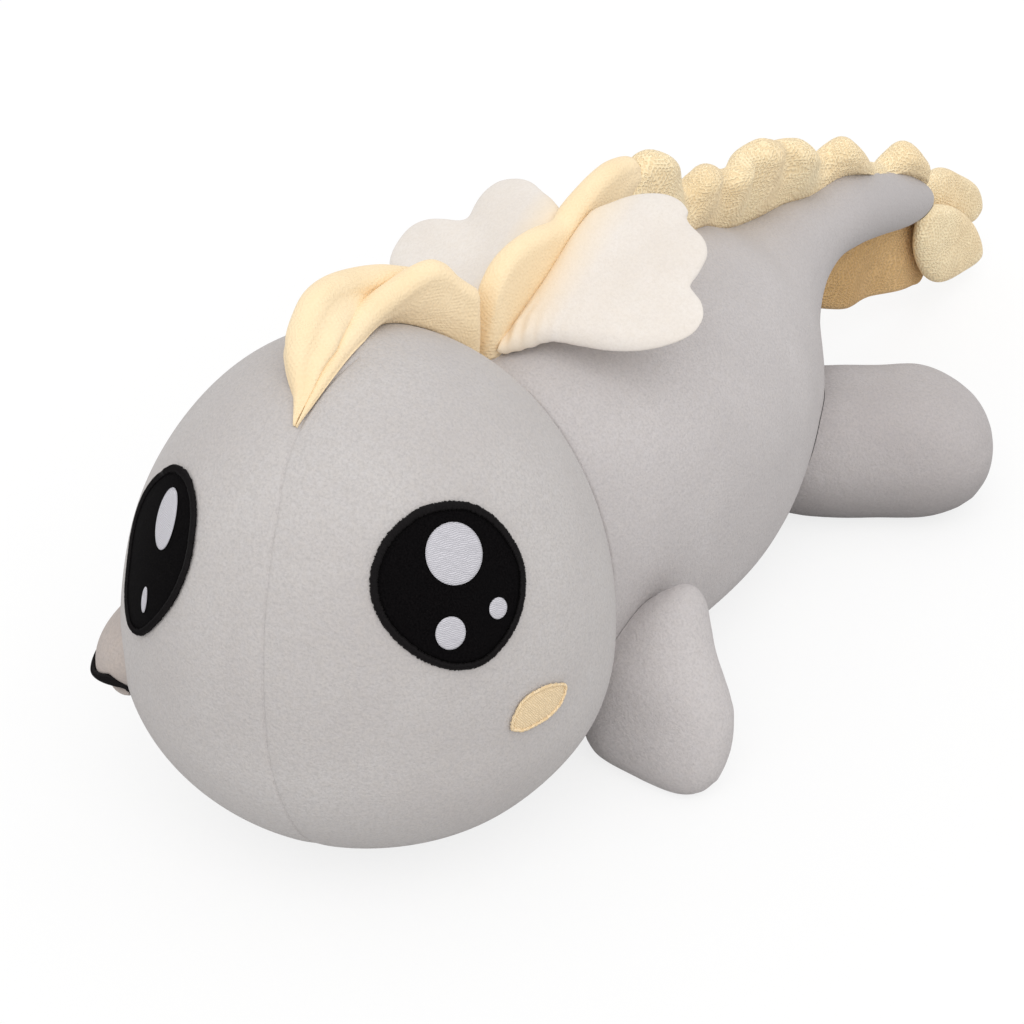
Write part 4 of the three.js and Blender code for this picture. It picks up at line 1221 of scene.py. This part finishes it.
def wing_points(side, root, across, along):
    """Points and faces of a wing with its folds, thinner towards its tip."""
    reach, length = WING_REACH[side], WING_LENGTH[side]
    middle = np.array([reach * 0.42, length * 0.5])
    outline = smooth_loop(np.array(WING_SHARES[side]) * [reach, length] - middle, 240)
    points, faces = pad(outline, WING_THICKNESS / 2, 5, rings=40)
    a, b = points[:, 0] + middle[0], points[:, 1] + middle[1]
    thin = mix(1.0, 0.62, np.clip(a / reach, 0, 1))
    points[:, 2] = points[:, 2] * thin + wing_relief(a, b, reach, length, side)
    gathered = np.exp(-(((b - 12) / 10) ** 2)) * np.clip(1 - a / 30, 0, 1)
    height, pitch = ROOT_GATHERS
    points[:, 2] += height * gathered * np.sin(a * 2 * math.pi / pitch + b * 0.35)
    return put(points, root + across * middle[0] + along * middle[1], across, along), faces


def make_wing(side):
    climb, droop = math.radians(WING_CLIMB), math.radians(WING_DROOP[side])
    along = np.array([0, math.cos(climb), math.sin(climb)])
    flat_out = np.array([1.0, 0, 0])
    across = math.cos(droop) * flat_out + math.sin(droop) * np.cross(along, flat_out)
    neck = NECK_RADIUS - HEAD_FORWARD
    root = np.array([5.9, neck, trunk_top(neck) + WING_THICKNESS * 0.45])
    points, faces = wing_points(side, root, across, along)
    wing = make_mesh(f"{side}_wing", mirror(points, side), faces)
    cut_to_trunk(wing, SEWN_GAP)
    nodes = [f"{side}_wing_{part}" for part in ("upper_panel", "lower_panel", "filling")]
    finish_piece(wing, "wing", nodes)
    hinge = mirror(root, side) * MM
    hinge + mirror(across, side) * 14 * MM
    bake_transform(wing)


# Face


def head_map(place):
    """Places on the head a way across and up from a direction, in millimetres."""
    out = unit(place)
    across = unit(np.cross([0, 0, 1.0], out))
    rise = np.cross(out, across)

    def at(flat, lift):
        flat = np.asarray(flat, float)
        direction = out + flat[..., :1] / HEAD_RADIUS * across + flat[..., 1:2] / HEAD_RADIUS * rise
        return on_head(direction, lift)

    return at


def flat_uv(piece, uv):
    """Keeps each point's flat place in millimetres for the stitching."""
    layer = piece.data.uv_layers.new(name="flat")
    loops = np.empty(len(piece.data.loops), np.int32)
    piece.data.loops.foreach_get("vertex_index", loops)
    layer.data.foreach_set("uv", np.asarray(uv, np.float32)[loops].ravel())


def patch(name, at, outline, middle, low, high_at, rings):
    """A patch that follows the head: high_at gives its top from middle (0) to rim (1)."""
    reach = np.linspace(0, 1, rings + 1)[1:]
    middle = np.array(middle, float)
    over = [middle + (outline - middle) * r for r in reach]
    base = [middle + (outline - middle) * r for r in (1.0, 0.66, 0.33)]
    rows = [at(flat, high_at(r)) for flat, r in zip(over, reach)] + [at(flat, low) for flat in base]
    piece = make_mesh(name, *closed_skin(rows, at(middle, high_at(0)), at(middle, low)))
    flat_uv(piece, np.concatenate(over + base + [[middle, middle]]))
    return piece


def sew_on(name, piece, look):
    """Finishes a piece of the face, which stands for the one node of its name."""
    finish_piece(piece, look, [name], "head")


def thread_heights(count):
    """Three points for each thread: full height in its middle, less at its edges."""
    return np.where(np.arange(count) % 3 == 1, 1.0, 0.86)


def stitched_ring(name, at, outline, width, low, height, pitch, seed):
    """Satin stitch round an outline: a low ridge of threads that lie across it."""
    rng = np.random.default_rng(seed)
    around = np.linalg.norm(np.roll(outline, -1, 0) - outline, axis=1).sum()
    count = int(around / pitch) * 3
    line = smooth_loop(outline[:: max(len(outline) // 36, 1)], count)
    tangent = unit(np.roll(line, -1, 0) - np.roll(line, 1, 0))
    inward = np.column_stack([-tangent[:, 1], tangent[:, 0]])
    if (inward * line).sum() > 0:
        inward = -inward
    thread = np.arange(count) // 3
    jitter = rng.uniform(-0.22, 0.22, (count // 3 + 1, 2))[thread]
    crown = thread_heights(count)
    rings = []
    for share in np.linspace(0, 1, 9):
        lift = low + (height - low) * math.sin(math.pi * share) ** 0.6 * crown
        reach = width * share + mix(jitter[:, 0], jitter[:, 1], share)
        rings.append(at(line + inward * reach[:, None], lift))
    rings.append(at(line + inward * (width * 0.5), np.full(count, low * 0.5)))
    return make_mesh(name, *hoop_skin(rings))


LEFT_EYE_PLACE = (0.623, -0.376, 0.686)
LEFT_EYE = [
    (7.1, 25.2), (14, 23.5), (21.8, 18), (27.6, 9.9), (30.9, 1.4), (30.5, -7.6), (26.9, -17), (19.3, -25.7),
    (9.2, -31.2), (-2.3, -30.2), (-11.5, -25.1), (-19, -17.4), (-24.2, -8.2), (-26, 1.3), (-24.1, 10.1),
    (-18.2, 18.1), (-11.2, 22.6), (-2.3, 25.5),
]
LEFT_GLINTS = [((4.5, 8.8), (9.8, 9.8), 0), ((-2, -16), (5.5, 5.8), 0), ((17.1, -11.8), (3.7, 3.7), 0)]
RIGHT_EYE_PLACE = (-0.336, -0.7, 0.63)
RIGHT_EYE = [
    (-16.6, 24.3), (-5.2, 25.9), (3.7, 22.9), (9.4, 18.3), (13.5, 12.3), (16.8, 3.9), (16.5, -9.5),
    (10.6, -24), (-0.2, -37), (-11.9, -40.2), (-21.7, -32.5), (-27, -19.1), (-33.3, -4.3), (-32.6, 6.7),
    (-26.2, 16.5),
]
RIGHT_GLINTS = [((-4.4, 9.2), (6, 10.4), 26), ((-1.2, -21), (1.9, 5.1), 10)]
EYE_BORDER = 3.0
CHEEK_PLACE = (0.96, -0.211, 0.184)
CHEEK = [
    (-13.4, -3.9), (-11.1, 2.6), (-5.9, 7), (2.9, 7.5), (10.9, 5.2), (16.3, 1.4), (13.8, -4.2), (7.2, -7.6),
    (-1.5, -8.2), (-8.9, -7.4),
]
SNOUT_PLACE = (-0.75, -0.66, 0.01)
SNOUT_SIZE = (20, 16.5)
SNOUT_DEPTH = 12.2
SNOUT_PEAK = 0.6
MOUTH_WIDTH = 7
MOUTH_HALF_LENGTH = 16
MOUTH_DROP = 11
SNOUT_BASE = -1.4
MOUTH_SMILE = 3.2
MOUTH_HEIGHT = 2.2
LIP_DROP = 15.6
LIP_SIZE = (13, 4.6)
LIP_HEIGHT = 6.5


def ellipse(half, count=72, lean=0):
    """An ellipse round (0, 0) that leans some degrees to the left."""
    angle = np.linspace(0, 2 * math.pi, count, endpoint=False)
    flat = np.column_stack([half[0] * np.cos(angle), half[1] * np.sin(angle)])
    c, s = math.cos(math.radians(lean)), math.sin(math.radians(lean))
    return flat @ np.array([[c, s], [-s, c]])


def make_eye(side, place, outline, glints):
    at = head_map(place)
    line = smooth_loop(outline, 180)
    middle = line.mean(0)
    centred = line - middle
    shifted = lambda flat, lift: at(np.asarray(flat) + middle, lift)
    inner = centred * (1 - (EYE_BORDER - 0.6) / np.linalg.norm(centred, axis=1))[:, None]
    name = f"{side}_eye_disc"
    sew_on(name, patch(name, shifted, inner, (0, 0), 0.35, lambda r: 1.1 - 0.3 * r**6, 14), "disc")
    name = f"{side}_eye_border"
    sew_on(name, stitched_ring(name, shifted, centred, EYE_BORDER, 0.9, 2.3, 0.42, 3), "satin")
    for i, (centre, half, lean) in enumerate(glints, 1):
        spot = ellipse(half, lean=lean) + centre - middle
        name, glint_top = f"{side}_eye_glint_{i}", lambda r: 2.0 - 0.45 * r**8
        sew_on(name, patch(name, shifted, spot, np.array(centre) - middle, 1.35, glint_top, 10), "glint")


def make_cheek():
    at = head_map(CHEEK_PLACE)
    line = smooth_loop(CHEEK, 120)
    inner = line * (1 - 1.0 / np.linalg.norm(line, axis=1))[:, None]
    name = "left_cheek_patch"
    sew_on(name, patch(name, at, inner, (0, 0), 0.4, lambda r: 1.5 - 0.5 * r**6, 12), "cheek")
    rim = stitched_ring("left_cheek_border", at, line, 1.5, 0.8, 1.9, 0.5, 8)
    flat_uv(rim, points_of(rim)[:, [0, 2]])
    finish_piece(rim, "cheek", body="head")


def snout_top(flat):
    """Height of the snout over the head at flat places, easing into the cheek."""
    x, y = flat[..., 0] / SNOUT_SIZE[0], flat[..., 1] / SNOUT_SIZE[1]
    rise = y + SNOUT_PEAK
    far = np.maximum(x * x + rise * rise, 1e-9)
    push = SNOUT_PEAK * rise
    reach = far / (push + np.sqrt(push * push + far * (1 - SNOUT_PEAK**2)))
    return -1.0 + SNOUT_DEPTH * np.clip(1 - np.minimum(reach, 1) ** 2, 0, 1) ** 1.12


def make_snout():
    at = head_map(SNOUT_PLACE)
    outline, middle = ellipse(SNOUT_SIZE, 96), np.zeros(2)
    rows = [at(outline * r, snout_top(outline * r)) for r in np.linspace(0, 1, 21)[1:]]
    rows += [at(outline * r, SNOUT_BASE) for r in (1.0, 0.6, 0.3)]
    skin = closed_skin(rows, at(middle, snout_top(middle)), at(middle, SNOUT_BASE))
    sew_on("snout", make_mesh("snout", *skin), "snout")
    lip_at = (0, -LIP_DROP)
    lip_top = lambda r: 0.9 + LIP_HEIGHT * (1 - r * r) ** 0.7
    lip = patch("lower_lip", at, ellipse(LIP_SIZE) + lip_at, lip_at, 0.4, lip_top, 14)
    sew_on("lower_lip", lip, "snout")
    sew_on("mouth_line", make_mouth(at), "satin")


def make_mouth(at):
    """The stitched mouth: a ridge of threads in a smiling curve over the snout."""
    count = 240
    t = np.linspace(-1, 1, count)
    curve = np.column_stack([t * MOUTH_HALF_LENGTH, -MOUTH_DROP + MOUTH_SMILE * t * t])
    tangent = unit(np.gradient(curve, axis=0))
    across = np.column_stack([-tangent[:, 1], tangent[:, 0]])
    end = np.sqrt(np.clip(1 - ((np.abs(t) - 0.88) / 0.12).clip(0, 1) ** 2, 0.02, 1))
    half = MOUTH_WIDTH / 2 * end * mix(0.66, 1.5, np.abs(t))
    columns = []
    for share in np.linspace(-1, 1, 11):
        flat = curve + across * (half * share)[:, None]
        rise = 0.6 + MOUTH_HEIGHT * np.sqrt(max(1 - share * share, 0)) * thread_heights(count) * end
        columns.append(at(flat, snout_top(flat) + rise))
    columns.append(at(curve, snout_top(curve) + 0.4))
    rings = np.stack(columns, axis=1)
    return make_mesh("mouth_line", *closed_skin(rings, rings[0].mean(0), rings[-1].mean(0)))


# Stage: floor, light and camera

CAMERA_AZIMUTH = 35
CAMERA_ELEVATION = 35
CAMERA_PLACE = (0.6519, -0.9706, 0.8704)
CAMERA_LENS = 115.0
SENSOR_WIDTH = 36


def make_camera():
    camera = bpy.data.objects.new("camera", bpy.data.cameras.new("camera"))
    bpy.context.scene.collection.objects.link(camera)
    a, e = math.radians(CAMERA_AZIMUTH), math.radians(CAMERA_ELEVATION)
    right = Vector((math.cos(a), math.sin(a), 0))
    back = Vector((math.sin(a) * math.cos(e), -math.cos(a) * math.cos(e), math.sin(e)))
    rise = back.cross(right)
    facing = Matrix((right, rise, back)).transposed().to_4x4()
    camera.matrix_world = Matrix.Translation(CAMERA_PLACE) @ facing
    camera.data.lens = CAMERA_LENS
    camera.data.sensor_width = SENSOR_WIDTH
    camera.data.clip_end = 20
    bpy.context.scene.camera = camera


BACKDROP = (0.99, 0.99, 0.99, 1)
SKY_LIGHT = 0.92
SUN_LIGHT = 0.95
SUN_COLOUR = (1.0, 0.99, 0.97)
SUN_WAY = (-0.5, 0.6, -1)
SUN_SPREAD = 60
# How much of the floor that the camera sees is plain white, the rest takes the shadow
FLOOR_WHITE = 0.8
FLOOR_HALF = 6.0


def camera_ray(tree):
    return add_node(tree, "LightPath", {}).outputs["Is Camera Ray"]


def make_light():
    """An even white studio that the camera sees as the backdrop, and a wide soft sun."""
    scene = bpy.context.scene
    scene.view_settings.view_transform = "Standard"
    scene.world = bpy.data.worlds.new("studio")
    scene.world.use_nodes = True
    tree = scene.world.node_tree
    tree.nodes.clear()
    soft = add_node(tree, "Background", {"Color": (1, 1, 1, 1), "Strength": SKY_LIGHT})
    seen = add_node(tree, "Background", {"Color": BACKDROP, "Strength": 1})
    choose = add_node(tree, "MixShader", {0: camera_ray(tree), 1: soft.outputs[0], 2: seen.outputs[0]})
    add_node(tree, "OutputWorld", {0: choose.outputs[0]})
    sun = bpy.data.objects.new("key", bpy.data.lights.new("key", "SUN"))
    sun.data.energy = SUN_LIGHT
    sun.data.angle = math.radians(SUN_SPREAD)
    sun.data.color = SUN_COLOUR
    sun.rotation_euler = Vector(SUN_WAY).to_track_quat("-Z", "Y").to_euler()
    scene.collection.objects.link(sun)


def make_floor():
    """A white floor: light grey to the light, and mostly plain white to the camera."""
    corners = [(x * FLOOR_HALF, y * FLOOR_HALF, 0) for x, y in ((-1, -1), (1, -1), (1, 1), (-1, 1))]
    mesh = bpy.data.meshes.new("floor")
    mesh.from_pydata(corners, [], [[0, 1, 2, 3]])
    floor = bpy.data.objects.new("floor", mesh)
    bpy.context.scene.collection.objects.link(floor)
    material = bpy.data.materials.new("floor")
    material.use_nodes = True
    tree = material.node_tree
    seen = camera_ray(tree)
    shades = {0: seen, 6: (0.6, 0.6, 0.6, 1), 7: (0.95, 0.95, 0.95, 1)}
    tint = add_node(tree, "Mix", shades, data_type="RGBA")
    bsdf = tree.nodes["Principled BSDF"]
    feed(tree, bsdf, {"Roughness": 1, "Specular IOR Level": 0, "Base Color": tint.outputs[2]})
    white = add_node(tree, "Emission", {"Color": BACKDROP, "Strength": 1})
    share = add_node(tree, "Math", {0: seen, 1: FLOOR_WHITE}, operation="MULTIPLY")
    choose = add_node(tree, "MixShader", {0: share.outputs[0], 1: bsdf.outputs[0], 2: white.outputs[0]})
    feed(tree, tree.nodes["Material Output"], {"Surface": choose.outputs[0]})
    mesh.materials.append(material)


def main():
    make_camera()
    make_light()
    make_floor()
    make_head()
    trunk = make_trunk()
    make_limbs(trunk)
    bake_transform(trunk)
    make_crest()
    for place, fold in HEAD_FOLDS.items():
        head_fin(f"head_crest_{place}", *fold)
    for name, lobe in LOBES.items():
        make_lobe(name, *lobe)
    make_keel()
    for side in SIDES:
        make_wing(side)
    make_eye("left", LEFT_EYE_PLACE, LEFT_EYE, LEFT_GLINTS)
    make_eye("right", RIGHT_EYE_PLACE, RIGHT_EYE, RIGHT_GLINTS)
    make_cheek()
    make_snout()


main()
